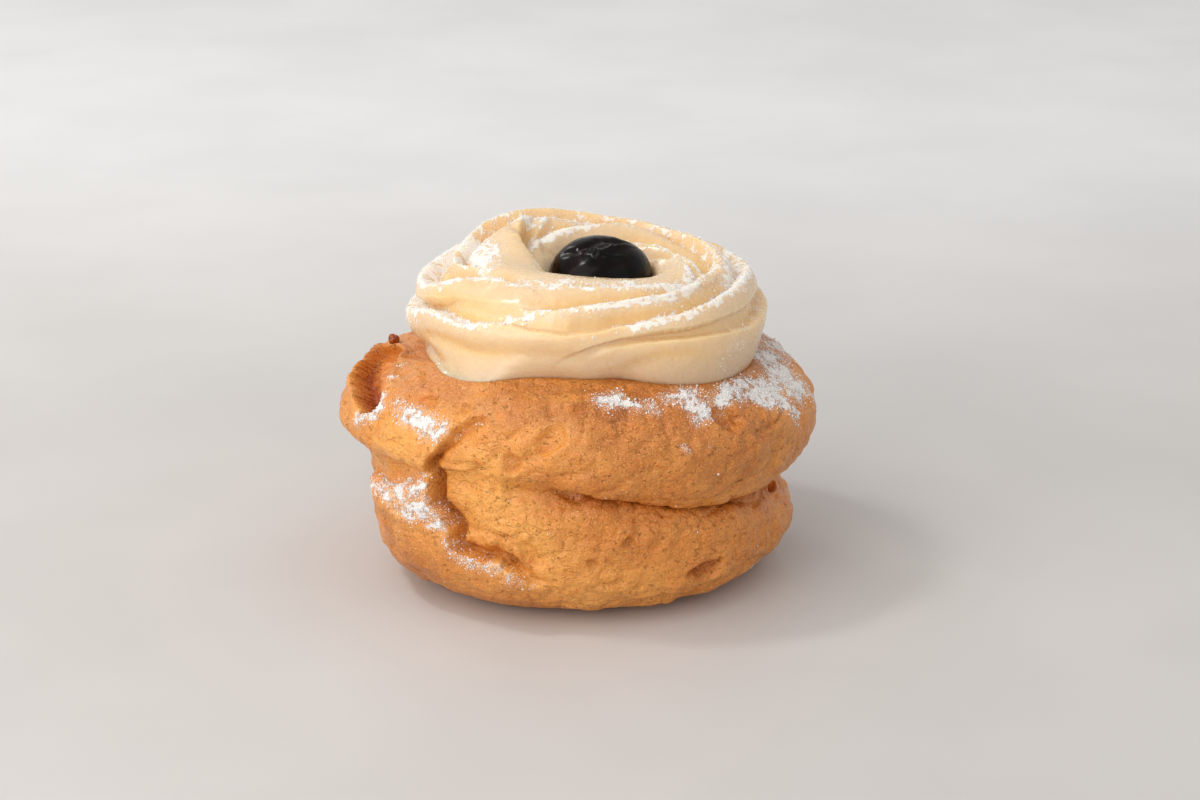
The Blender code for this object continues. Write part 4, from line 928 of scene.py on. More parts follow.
def read_edges(points):
    """(relief in mm, sugar, painted shade and glow of the grooves) of all the edges and soft grooves, added
    up.
    """
    relief, sugar, groove = (np.zeros(points.shape[:-1]) for _ in range(3))
    waver = layered_noise(points, WAVER, WAVER_SEED)
    for path in EDGES:
        offset, columns = beside_edge(points, path)
        offset = offset + waver
        relief += columns[..., 0] * edge_profile(offset)
        sugar = np.maximum(sugar, columns[..., 1] * bell(offset - SUGAR_AT, SUGAR_REACH))
        # groove: painted shade and glow behind each edge and along the soft grooves
        groove = np.maximum(groove, columns[..., 0] * bell(offset - GLOW_AT, GLOW_REACH))
    for path, wide in SOFT_GROOVES:
        offset, columns = beside_edge(points, path)
        relief -= columns[..., 0] * bell(offset, wide)
        groove = np.maximum(groove, np.minimum(columns[..., 0], GLOW_MOST) * bell(offset, wide))
    return relief, sugar, groove


print("An edge stands", EDGE_RISE, "mm proud, and its ledge is sunk by", EDGE_SINK, "mm")

# %% [markdown]
# ### The cream's skin
# Thick cream keeps slow waves from the nozzle and the faintest grain. They are added to the strands, and
# all of it fades out at the skirt's foot and at the cup, where the cream touches the choux and the cherry.
# A cloth or fluid simulation would take minutes for what three sizes of noise show at once.

# %% The cream's skin
CREAM_WAVES, WAVES_SEED = [(7.0, 0.22), (2.4, 0.07), (0.7, 0.022)], 40  # size and rise, in mm
STRANDS_BEGIN, STRANDS_END = 0.12, 0.3  # the strands fade over these shares of p at the foot and at the cup


def cream_skin(azimuth, v):
    """Points, in mm, of the cream: rosette + (edges and grooves + slow waves and a faint grain) * normal."""
    points = cream_ring(azimuth, v)
    _, _, place = cream_section(azimuth, v)
    shown = smooth(place / STRANDS_BEGIN) * smooth((2.0 - place) / STRANDS_END)
    relief, _, _ = read_edges(points)
    out = shown * (relief + layered_noise(points, CREAM_WAVES, WAVES_SEED))
    return points + out[..., None] * normals_of(cream_ring, azimuth, v)


CREAM_ROUND, CREAM_RINGS, CREAM_FRONT = 440, 210, 0.3
# What share of the rings has been laid by each place v.
CREAM_LAID, CREAM_AT = [0, 0.02, 0.16, 0.74, 0.95, 1], [0.01, 0.15, 0.24, 0.66, 0.87, 0.985]
cream_places = np.interp(np.linspace(0, 1, CREAM_RINGS), CREAM_LAID, CREAM_AT)
cream, cream_azimuth, cream_v = closed_skin(
    "piped_cream", cream_skin, front_first(CREAM_ROUND, CREAM_FRONT), cream_places
)
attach(cream, "root")
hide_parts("cream")
print("The cream has", len(cream.data.polygons), "faces")

# %% [markdown]
# ## The sour cherry
# The cherry was kept in syrup: it has shrunk a little, so its skin is drawn into soft folds, and the syrup
# makes it black and very shiny. It could be a smooth ball with a bump map, but what one sees of it are its
# reflections, and they follow the true shape. So the folds are in the mesh, as paths on a squashed ball.

# %% The cherry's skin
# Folds are paths of (azimuth, angle above level, rise in mm) on the ball, each with its half width in mm.
CHERRY_FOLDS = [
    ([(258, 46, 0.0), (262, 49, 0.3), (273, 55, 0.5), (287, 59, 0.55), (309, 62, 0.5), (343, 59, 0.4),
      (368, 46, 0.0)], 0.55),
    ([(220, 55, 0.0), (235, 57, 0.4), (260, 57, 0.45), (270, 51, 0.4), (283, 47, 0.4), (296, 45, 0.3),
      (320, 43, 0.0)], 0.5),
    ([(290, 74, 0.0), (312, 77, -0.5), (345, 72, -0.6), (354, 62, -0.4), (368, 50, 0.0)], 1.0),
    ([(190, 36, 0.0), (199, 44, -0.3), (221, 54, -0.45), (234, 66, -0.5), (250, 76, -0.4),
      (300, 84, 0.0)], 0.9),
    ([(341, 82, 0.0), (300, 72, 0.2), (296, 62, 0.25), (292, 58, 0.0)], 0.35),
    ([(110, 60, 0.0), (90, 40, -0.5), (80, 15, -0.3), (75, 0, 0.0)], 0.9),
    ([(30, 70, 0.0), (40, 45, -0.4), (20, 25, -0.3), (15, 10, 0.0)], 0.8),
]
CHERRY_WRINKLES, CHERRY_SEED = [(3.2, 0.14), (1.3, 0.04)], 80  # size and rise, in mm
FOLD_STOPS = 5  # stops read for each row of a fold


def on_cherry(azimuth, angle):
    """Points, in mm, of the plain cherry: a squashed ball, read by azimuth and the angle above level."""
    up = np.radians(angle)
    return turned(azimuth, np.cos(up), np.sin(up)) * CHERRY_RADII + CHERRY_CENTRE


def cherry_skin(azimuth, v):
    """Points, in mm, of the cherry: ball + (folds rise * bell + wrinkles) * normal."""
    points = on_cherry(azimuth, v * 180 - 90)
    outward = (points - CHERRY_CENTRE) / np.array(CHERRY_RADII) ** 2
    outward /= np.linalg.norm(outward, axis=-1, keepdims=True)
    relief = layered_noise(points, CHERRY_WRINKLES, CHERRY_SEED)
    for path, wide in CHERRY_FOLDS:
        table = np.array(path, float)
        dense = np.linspace(0, len(table) - 1, FOLD_STOPS * len(table))
        turn, angle, rise = (np.interp(dense, np.arange(len(table)), column) for column in table.T)
        stops = on_cherry(turn, angle)
        offset, columns = beside_stops(points, stops, stops - CHERRY_CENTRE, rise[:, None])
        relief += columns[..., 0] * bell(offset, wide)
    return points + relief[..., None] * outward


CHERRY_ROUND, CHERRY_RINGS = 200, 120
cherry_places = np.linspace(0, 1, CHERRY_RINGS + 2)[1:-1]
cherry, _, _ = closed_skin("sour_cherry", cherry_skin, front_first(CHERRY_ROUND, 0.0), cherry_places)
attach(cherry, "root")
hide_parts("cherry")
print("The cherry has", len(cherry.data.polygons), "faces")

# %% [markdown]
# ## Masks on the skins
# A finish is rarely the same all over: the shoulder is browner, the torn places show the orange inside, and
# sugar lies in patches. Each such mask is a number for every point of a mesh, worked out from where the
# point is, and kept as an attribute that the material reads. Painting by hand would do it once, for one
# mesh only.

# %% Helpers for masks
def points_of(made):
    """(points in mm, normals) of an object's mesh, as arrays."""
    count = len(made.data.vertices)
    points, normals = np.empty(count * 3, np.float32), np.empty(count * 3, np.float32)
    made.data.vertices.foreach_get("co", points)
    made.data.vertex_normals.foreach_get("vector", normals)
    return points.reshape(-1, 3).astype(float) / MM, normals.reshape(-1, 3).astype(float)


def keep_mask(made, name, values):
    """Store one number for each point, for the material's Attribute node of this name."""
    layer = made.data.attributes.new(name, "FLOAT", "POINT")
    layer.data.foreach_set("value", np.clip(values, 0, 1).astype(np.float32))


def spots(points, table, place_of):
    """The sum over spots (azimuth, place, size, weight) of weight * a bell of that size."""
    total = np.zeros(len(points))
    for azimuth, place, size, weight in table:
        distance = np.linalg.norm(points - place_of(azimuth, place), axis=-1)
        total += weight * bell(distance, size)
    return total


CLUMPS = [(1.5, 0.30), (0.8, 0.45), (0.45, 0.40)]  # size in mm, and how much of the sugar they gather
CLUMPS_OVER, HEAPED = 0.6, 1.1  # a clump's soft edge, and the thickest that the sugar counts


def broken_up(points, sugar, seed, bare):
    """Sugar as it lies, whole where thick and in clumps where thin: sugar + noise, eased from bare on."""
    return eased(np.minimum(sugar, HEAPED) + layered_noise(points, CLUMPS, seed), bare, CLUMPS_OVER)


choux_points, choux_normals = points_of(choux)
cream_points, cream_normals = points_of(cream)
print("Masks are worked out at", len(choux_points) + len(cream_points), "points")

# %% [markdown]
# ### Sugar on the choux
# The sugar was sifted from above, after the cream was piped. It lies in patches on the shoulders and
# ledges, slides off steep places, and misses the cleft and the burst bubble. Sugar on everything that faces
# up would bury the crust, so the patches are placed as round spots, and noise breaks up their edges into
# clumps.

# %% Where sugar fell on the choux
# Azimuth, height, size in mm, weight.
SUGAR_PATCHES = [
    (199.5, 29.0, 1.4, 0.8), (204, 30.4, 1.5, 0.7), (208, 32.8, 1.4, 0.7), (196, 32.6, 0.9, 0.8),
    (199, 34.8, 0.9, 0.8), (214, 34.4, 1.5, 0.6), (219, 33.2, 1.8, 0.9), (221.5, 34, 1.4, 0.8),
    (224.5, 33.2, 1.7, 0.9), (228, 33.8, 1.3, 0.7), (231, 32.6, 1.6, 0.9), (227.5, 31.7, 1.3, 0.7),
    (233, 33.6, 1.0, 0.5), (236, 32.3, 1.3, 1.3), (238.5, 33.7, 1.0, 0.7), (240.5, 34.7, 0.9, 0.6),
    (243, 35.7, 0.8, 0.5), (199, 17.9, 1.3, 0.7), (203, 18.2, 1.5, 1.2), (209.5, 18.8, 1.6, 1.4),
    (217, 20.4, 1.8, 1.4), (224, 22.4, 1.5, 1.2), (225.7, 23.4, 1.0, 0.9), (214, 18.0, 1.8, 1.4),
    (220, 17.8, 1.8, 1.5), (223.5, 19.5, 1.8, 1.4), (221, 16.2, 1.4, 0.9), (225.8, 18, 1.6, 1.4),
    (227.3, 16.5, 1.3, 1.0), (229.6, 18.3, 1.3, 1.4), (231.1, 16.6, 1.2, 1.3), (232.6, 17, 0.9, 1.3),
    (227.6, 20.3, 1.3, 1.3), (234, 14, 1.1, 1.4), (235.4, 12.2, 1.1, 1.4), (236.3, 11, 0.9, 1.0),
    (239.7, 11.2, 1.1, 1.4), (242.9, 10.8, 1.0, 1.4), (245.9, 10.9, 1.0, 1.3), (247.4, 11, 0.8, 1.1),
    (250.1, 9.4, 0.9, 1.3), (252.5, 8.9, 0.9, 1.3), (256, 7.9, 0.7, 0.7), (275, 38.7, 1.4, 0.9),
    (277.5, 38.2, 1.3, 0.9), (279.5, 39.1, 1.2, 0.8), (282, 38.4, 1.2, 0.6), (285, 37.7, 1.3, 0.55),
    (288.5, 38, 1.3, 0.6), (289.5, 37, 1.2, 0.5), (295, 38.2, 1.5, 0.8), (300, 38.1, 1.7, 0.9),
    (303.5, 38.2, 1.6, 0.8), (300, 37, 1.5, 0.9), (300.5, 35.1, 1.2, 0.9), (303, 36.4, 1.4, 0.9),
    (305, 35.9, 1.3, 0.8), (310, 36.8, 1.6, 1.0), (315.5, 37.1, 2.0, 1.1), (320.5, 37.0, 2.1, 1.2),
    (326.5, 36.9, 2.1, 1.2), (325.5, 35.8, 1.8, 1.1), (333, 36, 2.4, 1.1), (341, 35.6, 2.6, 1.0),
    (341.5, 34.3, 2.2, 0.8), (342.5, 32.9, 2.0, 0.65), (332.5, 33.6, 1.9, 0.8), (327.5, 34.8, 1.7, 1.0),
    (335.5, 31.8, 1.7, 0.6), (335, 30.3, 1.4, 0.5), (347.5, 35.7, 2.6, 0.9), (348, 36.6, 2.4, 0.8),
    (356.5, 36.9, 3.0, 0.8), (350, 37.3, 2.4, 0.7), (348.5, 34.8, 2.4, 0.8), (347.5, 33.1, 2.2, 0.6),
    (352, 30.5, 2.0, 0.45), (294.5, 31.7, 0.6, 1.2), (295.5, 31.3, 0.5, 1.0), (12, 35.5, 5, 0.65),
    (38, 35.5, 5, 0.6), (75, 36, 4.5, 0.55), (110, 36, 5, 0.6), (150, 36.5, 4, 0.5), (200, 29.5, 0.9, 1.0),
    (203.5, 30.3, 0.9, 1.1), (207, 31.2, 0.9, 1.1), (209, 32.6, 0.8, 1.2), (207.5, 34.2, 0.8, 1.1),
    (203, 36.2, 0.7, 0.9), (196, 37, 0.6, 0.8),
]
SIFTED, WHOLE_VEIL = 1.35, 1.2  # how thickly it fell, and how much of it makes a whole veil
# Pairs say where a mask begins, and over how much more it becomes whole.
LIES_ON, LEAST_HELD = (-0.25, 0.7), 0.35  # by the upward share of the normal, and what the rest holds
STEEP, SLID_OFF = (0.8, 0.5), 0.8  # by the cosine between the skin's normal and the plain ring's
IN_CLEFT, CLEFT_REACH = (0.2, 0.6), 4.0  # in mm
BARE_FROM = 0.5  # the depth in the bubble at which no sugar lies, in mm
CHOUX_BARE, CHOUX_CLUMP_SEED = 0.52, 51  # sugar thinner than this leaves the crust bare
CHOUX_DUST, CHOUX_DUST_FROM = 0.30, (0.04, 0.5)  # the share of fine dust round the patches
CHOUX_GATHERED = 1.3  # the power that gathers the grains in the middles of the patches
SHOWS_FROM = 0.4  # a point counts as sugared from this share on
plain = choux_ring(choux_azimuth, choux_v)
cleft_offset, cleft_strength = beside_tear(plain, CLEFT, CLEFT_MOVED)
at_cleft = np.minimum(cleft_strength, 1)
in_cleft = eased(-cleft_offset, *IN_CLEFT) * bell(cleft_offset, CLEFT_REACH) * at_cleft
aligned = np.sum(choux_normals * normals_of(choux_ring, choux_azimuth, choux_v), axis=-1)
bubble_depth = np.linalg.norm(bubble_push(plain), axis=-1)
slid = SLID_OFF * eased_below(aligned, *STEEP)
kept = (1 - in_cleft) * (1 - slid) * (1 - smooth(bubble_depth / BARE_FROM))
held = from_least(LEAST_HELD, eased(choux_normals[:, 2], *LIES_ON))
fallen = SIFTED * spots(plain, SUGAR_PATCHES, wall_point) * held * kept
choux_sugar = broken_up(choux_points, fallen, CHOUX_CLUMP_SEED, CHOUX_BARE)
choux_dusted = np.maximum(choux_sugar**CHOUX_GATHERED, CHOUX_DUST * eased(fallen, *CHOUX_DUST_FROM))
keep_mask(choux, "sugar", choux_sugar)
keep_mask(choux, "veil", smooth(fallen / WHOLE_VEIL))
print("Sugar covers", round(100 * float(np.mean(choux_sugar > SHOWS_FROM)), 1), "% of the choux's points")

# %% [markdown]
# ### Browned, pale and torn places, and painted shade
# Hot oil browns what stands out: the shoulder, and lobes low on the left. Dough that opened late stays
# pale, and the insides of tears and the bubble are a deep orange, because the thin skin there soaked up
# oil. Sunk places and the fold get the same orange as painted warm shade, and the hollows, the fold and
# the groove under the cleft's lip get a darker painted shade. Spots say where, and the relief itself says
# which places are deep.

# %% Colours of the choux
# Azimuth, height, size in mm, weight: where the crust browned more, stayed pale, or gets painted shade in a
# hollow or the fold.
BROWNER = [
    (213, 9, 6, 0.9), (222, 7, 6, 0.9), (290, 31, 7, 0.35), (275, 35, 5, 0.45), (290, 37, 4, 0.5),
    (278, 30, 7, 0.35), (318, 30, 7, 0.35), (308, 31, 7, 0.3), (235, 6, 6, 0.4), (262, 28, 7, 0.25),
    (275, 10, 6, 0.25), (205, 24, 4, 0.3), (308, 27, 8, 0.5), (300, 33, 5, 0.3), (325, 12, 8, 0.3),
    (330, 25, 7, 0.4),
]
PALER = [
    (245, 20, 7, 1.2), (251, 15, 6, 0.8), (213, 27, 6, 0.8), (222, 30, 5, 0.7), (240, 33, 6, 0.7),
    (215, 17, 5, 0.9), (200, 22, 5, 0.7), (199, 30.3, 1.6, 1.0), (206, 31.6, 1.6, 1.0), (203, 36, 1.6, 0.9),
    (192, 37, 1.8, 0.6), (270, 5, 6, 0.7), (290, 6, 5, 0.4), (262, 35, 4, 0.3), (230, 23, 4, 0.9),
    (258, 12, 6, 0.6), (240, 27, 5, 0.7),
]
# Hollow shade spots: painted shade, darker red-brown, in the hollows and along the fold.
HOLLOW_SHADE_SPOTS = [
    (305, 8.8, 2.0, 1.1), (303, 8.5, 1.5, 0.7), (310, 34.6, 1.9, 0.7), (262, 33.6, 2.0, 0.35),
    (251.8, 29.2, 1.4, 0.4), (347.5, 15.8, 1.3, 1.0), (281.5, 15.6, 0.8, 0.6), (272.5, 12.3, 0.8, 0.5),
    (264, 23.2, 1.8, 0.6), (269, 23.0, 1.9, 0.7), (274, 22.6, 1.9, 0.7), (279, 21.8, 1.7, 0.6),
    (343, 16.5, 1.8, 0.6), (336, 17, 1.6, 0.5), (251.3, 12.2, 1.2, 0.6),
]
TORN_OVER, TORN_REACH = 1.2, 5.0  # in mm, on the right of the cleft's edge
SUNK, BUBBLE_SOAKED, BUBBLE_INSIDE = (0.3, 2.0), (0.9, 3.0), (1.8, 2.5)  # depths, in mm
SHOULDER_FROM, BROWNEST_AT, BROWN_SIDE = (33.5, 3.5), 330, (-0.35, 1.0)  # height in mm, azimuth, cosine
LEAST_BROWN, SPOTS_BROWN = 0.35, 0.8  # shares on the pale side of the shoulder, and at most on a spot
RED_UNDER, LEAST_RED = (35.5, 3.0), 0.25  # height in mm, and the share of red in the bubble above it
# The red in the hollows is painted red-brown shade.
RED_FROM, RED_HOLLOW_SHADE = (0.45, 0.5), 0.5  # by the mask of deeper places, and the most red there
FOLD_DARK, DARKEST_FOLD = (0.75, 0.25), 0.7  # by the mask of the fold, and the most shade there
# Under the cleft's lip the crust gets painted shade.
UNDER_LIP_WIDTH, UNDER_LIP = 0.9, (0.7, 1.3)  # in mm, and by the cleft's strength
# The torn mask: the crumb's own orange inside the cleft's tear and the bubble, and painted warm shade in the
# sunk places and the fold.
torn = smooth(-cleft_offset / TORN_OVER) * bell(cleft_offset, TORN_REACH) * at_cleft
relief = crust_relief(choux_azimuth, choux_v)
fold = in_fold(choux_azimuth, choux_v)
for deep in (eased(-relief, *SUNK), eased(bubble_depth, *BUBBLE_SOAKED), fold):
    torn = np.maximum(torn, deep)
to_the_right = eased(np.cos(np.radians(choux_azimuth - BROWNEST_AT)), *BROWN_SIDE)
browned = eased(choux_points[:, 2], *SHOULDER_FROM) * from_least(LEAST_BROWN, to_the_right)
browned = np.maximum(browned, SPOTS_BROWN * np.minimum(spots(plain, BROWNER, wall_point), 1))
in_bubble = eased(bubble_depth, *BUBBLE_INSIDE)
# Where the hollows and the fold get painted shade.
hollow_shade = np.minimum(spots(plain, HOLLOW_SHADE_SPOTS, wall_point), 1)
red_inside = in_bubble * from_least(LEAST_RED, eased_below(plain[:, 2], *RED_UNDER))
# burst: the bubble's red inside, and painted red-brown shade in the hollows.
burst = np.maximum(red_inside, RED_HOLLOW_SHADE * eased(hollow_shade, *RED_FROM))
under_lip = bell(cleft_offset - GROOVE_AT, UNDER_LIP_WIDTH) * eased(cleft_strength, *UNDER_LIP)
# shaded: painted shade under the cleft's lip, in the hollows and in the fold.
shaded = np.maximum(np.maximum(under_lip, hollow_shade), DARKEST_FOLD * eased(fold, *FOLD_DARK))
keep_mask(choux, "torn", torn)
keep_mask(choux, "browned", browned)
keep_mask(choux, "pale", np.minimum(spots(plain, PALER, wall_point), 1))
keep_mask(choux, "bubble", in_bubble)
keep_mask(choux, "burst", burst)
keep_mask(choux, "shaded", shaded)
print("The crust is browned by", round(100 * float(np.mean(browned))), "% on the whole")

# %% [markdown]
# ### Masks of the cream
# On the cream the sugar lies along the edges of the rope, which caught it first, and in a few wider drifts.
# The grooves behind the edges get a mask too, for painted shade and glow: a deeper golden colour in place
# of shade and of light sunk into the cream. So does the thin skirt, where the crust shows through a
# little, and its side away from the light gets painted shade.

# %% Sugar, grooves and skirt of the cream
# Azimuth, place p, size in mm, weight.
CREAM_DUST = [
    (162, 0.80, 3.0, 0.70), (172, 0.88, 3.0, 0.80), (183, 0.95, 3.0, 0.75), (192, 0.90, 2.5, 0.60),
    (203, 0.88, 2.2, 0.55), (134, 1.02, 2.0, 1.00), (141, 1.02, 2.0, 0.95), (128, 1.10, 1.6, 0.80),
    (112, 1.02, 2.2, 0.70), (100, 1.02, 2.5, 0.60), (85, 1.00, 2.5, 0.55), (60, 0.98, 2.5, 0.50),
    (228, 0.90, 1.8, 0.60), (240, 0.90, 1.8, 0.70), (252, 0.93, 1.8, 0.72), (265, 0.95, 1.8, 0.72),
    (278, 0.97, 1.8, 0.72), (290, 0.98, 1.8, 0.75), (300, 0.96, 1.8, 0.85), (308, 0.94, 1.8, 0.90),
    (317, 0.93, 1.6, 0.80), (330, 0.98, 1.6, 0.65), (340, 1.02, 1.6, 0.70), (30, 0.80, 2.6, 0.55),
    (20, 0.80, 2.6, 0.60), (4, 0.80, 2.4, 0.65), (352, 0.72, 2.0, 0.80), (342, 0.68, 2.0, 0.80),
    (332, 0.64, 1.4, 0.60), (244, 0.54, 1.3, 0.80), (237, 0.54, 1.2, 0.75), (251, 0.53, 1.1, 0.70),
    (264, 0.35, 0.5, 0.80), (267, 0.34, 0.4, 0.75), (318, 0.26, 1.8, 0.70), (325, 0.25, 1.6, 0.55),
    (313, 0.16, 1.6, 0.65), (196, 0.38, 1.6, 0.95), (204, 0.42, 1.6, 0.85), (189, 0.33, 1.8, 0.85),
    (212, 0.42, 1.2, 0.80), (345, 0.38, 2.0, 0.45), (300, 0.62, 2.6, 0.40), (318, 0.66, 2.6, 0.40),
    (335, 0.74, 2.6, 0.45), (350, 0.82, 2.6, 0.50), (8, 0.72, 3.0, 0.50), (310, 0.84, 2.0, 0.50),
    (20, 0.55, 3.0, 0.40), (150, 0.60, 3.0, 0.40),
]
CREAM_LIES_ON, CREAM_LEAST_HELD = (-0.05, 0.6), 0.5
HEAPED_BY, CREAM_SIFTED = 0.35, 1.4  # where a drift meets an edge it heaps up by this share
CREAM_BARE, CREAM_CLUMP_SEED = 0.45, 54
CREAM_FINE, CREAM_FINE_FROM = 0.30, (0.06, 0.4)  # the share of fine dust round the drifts
CREAM_GATHERED = 1.2
GROOVES_END, SKIRT_TOP = (1.7, 0.3), (0.30, 0.25)  # places p, read downwards
SHADED_SIDE, LEAST_SHADED = 350, 0.6  # the azimuth of the skirt's darkest side, and the share opposite


def cream_point(azimuth, place):
    """The point of the plain rosette at an azimuth and a place p."""
    return cream_ring(np.array(float(azimuth)), at_place(np.array(place)))


plain_cream = cream_ring(cream_azimuth, cream_v)
_, _, cream_place = cream_section(cream_azimuth, cream_v)
_, edge_sugar, cream_groove_shade = read_edges(plain_cream)
dust = spots(plain_cream, CREAM_DUST, cream_point)
held = from_least(CREAM_LEAST_HELD, eased(cream_normals[:, 2], *CREAM_LIES_ON))
caught = (np.maximum(edge_sugar, dust) + HEAPED_BY * edge_sugar * dust) * held
cream_sugar = broken_up(cream_points, CREAM_SIFTED * caught, CREAM_CLUMP_SEED, CREAM_BARE)
cream_dusted = np.maximum(cream_sugar**CREAM_GATHERED, CREAM_FINE * eased(caught, *CREAM_FINE_FROM))
in_shade = smooth(np.cos(np.radians(cream_azimuth - SHADED_SIDE)))
keep_mask(cream, "sugar", cream_sugar)
keep_mask(cream, "veil", smooth(caught))
# The groove mask carries painted shade and glow.
keep_mask(cream, "groove", cream_groove_shade * eased_below(cream_place, *GROOVES_END))
# The skirt mask: thinner cream towards its foot, and painted shade on the side away from the light.
keep_mask(cream, "skirt", eased_below(cream_place, *SKIRT_TOP) * from_least(LEAST_SHADED, in_shade))
print("Sugar covers", round(100 * float(np.mean(cream_sugar > SHOWS_FROM)), 1), "% of the cream's points")

# %% [markdown]
# ## Finishes
# Each finish is a small network of nodes. Noise on the object's own coordinates gives grain that stays put
# when the camera moves. A short helper adds a node and fills its sockets with numbers or with other nodes'
# outputs, so that a recipe reads from the base colour outwards, much as the real surface was built up.

# %% Helpers for materials
def finish(name):
    """(material, tree, shader) of a new Principled finish."""
    made = bpy.data.materials.new(name)
    made.use_nodes = True
    return made, made.node_tree, made.node_tree.nodes["Principled BSDF"]


def fill(tree, node, sockets):
    """Give sockets, by name or number, a value or another node's output."""
    for key, value in sockets.items():
        if isinstance(value, bpy.types.NodeSocket):
            tree.links.new(value, node.inputs[key])
        else:
            node.inputs[key].default_value = value


def noise(tree, size_mm, detail=2.0, roughness=0.5, stretch=(1, 1, 1), distortion=0.0):
    """Noise between 0 and 1, with lumps of about this size, on the object's own coordinates."""
    place = tree.nodes.new("ShaderNodeTexCoord").outputs["Object"]
    scaled = tree.nodes.new("ShaderNodeMapping")
    fill(tree, scaled, {"Vector": place, "Scale": [1 / MM / size_mm / k for k in stretch]})
    made = tree.nodes.new("ShaderNodeTexNoise")
    fill(tree, made, {"Vector": scaled.outputs[0], "Scale": 1.0, "Detail": detail})
    fill(tree, made, {"Roughness": roughness, "Distortion": distortion})
    return made.outputs["Fac"]


def between(tree, value, low, high, start=0.0, end=1.0):
    """An even ease of value from start at low to end at high."""
    made = tree.nodes.new("ShaderNodeMapRange")
    made.interpolation_type = "SMOOTHSTEP"
    fill(tree, made, {"Value": value, "From Min": low, "From Max": high, "To Min": start, "To Max": end})
    return made.outputs[0]


def maths(tree, kind, a, b=0.0, clamp=False):
    """One arithmetic node."""
    made = tree.nodes.new("ShaderNodeMath")
    made.operation, made.use_clamp = kind, clamp
    fill(tree, made, {0: a, 1: b})
    return made.outputs[0]


def times(tree, a, b):
    """a * b."""
    return maths(tree, "MULTIPLY", a, b)


def tint(tree, share, under, over, kind="MIX"):
    """The colour under, with the colour over laid on it by this share."""
    made = tree.nodes.new("ShaderNodeMix")
    made.data_type, made.blend_type = "RGBA", kind
    fill(tree, made, {0: share, 6: under, 7: over})
    return made.outputs[2]


def laid_on(tree, colour, layers):
    """The colour, with layers of (share, colour) laid on it one after another."""
    for share, over in layers:
        colour = tint(tree, share, colour, over)
    return colour


def mask(tree, name):
    """The mask of this name, as kept on the mesh."""
    made = tree.nodes.new("ShaderNodeAttribute")
    made.attribute_name = name
    return made.outputs["Fac"]


def raised(tree, layers):
    """Bumps of (height from 0 to 1, depth in mm), one on top of another."""
    bumps = None
    for height, depth_mm in layers:
        made = tree.nodes.new("ShaderNodeBump")
        fill(tree, made, {"Height": height, "Distance": depth_mm * MM, "Strength": 1.0})
        if bumps is not None:
            tree.links.new(bumps, made.inputs["Normal"])
        bumps = made.outputs[0]
    return bumps


FILM_GRAIN, VEIL_GRAIN = 0.45, 0.6  # how large the patches of fine sugar are, in mm
FILM_OF_MASK, FILM_OF_NOISE = 0.8, 0.9


def powder_film(tree, thin, thick, most):
    """Sugar too fine for grains: sugar mask + fine noise, eased from 0 at thin to most at thick."""
    laid = times(tree, mask(tree, "sugar"), FILM_OF_MASK)
    broken = times(tree, noise(tree, FILM_GRAIN, 3.0, 0.7), FILM_OF_NOISE)
    return between(tree, maths(tree, "ADD", laid, broken), thin, thick, 0.0, most)


def sugar_veil(tree, low, high, least, most):
    """A still thinner bloom of sugar dust round the patches: the veil mask times a patchy share."""
    patchy = between(tree, noise(tree, VEIL_GRAIN, 4.0, 0.7), low, high, least, most)
    return times(tree, mask(tree, "veil"), patchy)


print("Helpers for finishes are ready")

# %% [markdown]
# ### The fried crust
# A crust fried in oil is golden where it is smooth, browner on the shoulder, and deep orange where it tore.
# Its sunk places, hollows and fold get painted shade, warm orange and darker red-brown. Looked at closely
# it is mottled, with brown specks. The oil leaves it a faint sheen, which is a thin, rough coat. Sugar too
# thin to show as grains whitens it in a broken pattern. All this could be one painted picture, but colours
# laid one on another by masks and noise can each be changed alone.

# %% The crust's colour
GOLDEN, PALE_GOLD, PALE_DOUGH = (0.65, 0.214, 0.029, 1), (0.77, 0.300, 0.050, 1), (0.93, 0.44, 0.096, 1)
DEEP_BROWN, SHADED_BROWN = (0.32, 0.077, 0.007, 1), (0.42, 0.108, 0.005, 1)
# Torn orange is the crumb's colour in the tears, and painted warm shade in sunk places and the fold.
TORN_AND_SHADED_ORANGE, FLAKE_ORANGE = (0.60, 0.175, 0.014, 1), (0.74, 0.215, 0.020, 1)
# Burst red is the bubble's deep red low inside, and painted red-brown shade in the hollows.
BURST_AND_HOLLOW_RED, BUBBLE_PALE = (0.34, 0.035, 0.002, 1), (0.86, 0.32, 0.07, 1)
FINE_DARK, FINE_PALE = (0.45, 0.118, 0.012, 1), (0.90, 0.48, 0.125, 1)
SUGAR_WHITE = (0.90, 0.87, 0.85, 1)
FLATTENED, DRAWN_UP = (1, 1, 0.8), (1.4, 1.4, 0.7)  # how grain and veins are stretched along x, y and z
crust, tree, shader = finish("fried_crust")
mottled = between(tree, noise(tree, 9.0, 3.0), 0.35, 0.65)
browning = between(tree, noise(tree, 4.0, 4.0), 0.3, 0.7, 0.35, 0.9)
flakes = between(tree, noise(tree, 2.6, 3.0, 0.6), 0.54, 0.66, 0.0, 0.45)
dark_grain = between(tree, noise(tree, 0.34, 4.0, 0.7, FLATTENED), 0.48, 0.66, 0.0, 0.66)
pale_grain = between(tree, noise(tree, 0.30, 4.0, 0.7, FLATTENED, 0.4), 0.50, 0.66, 0.0, 0.60)
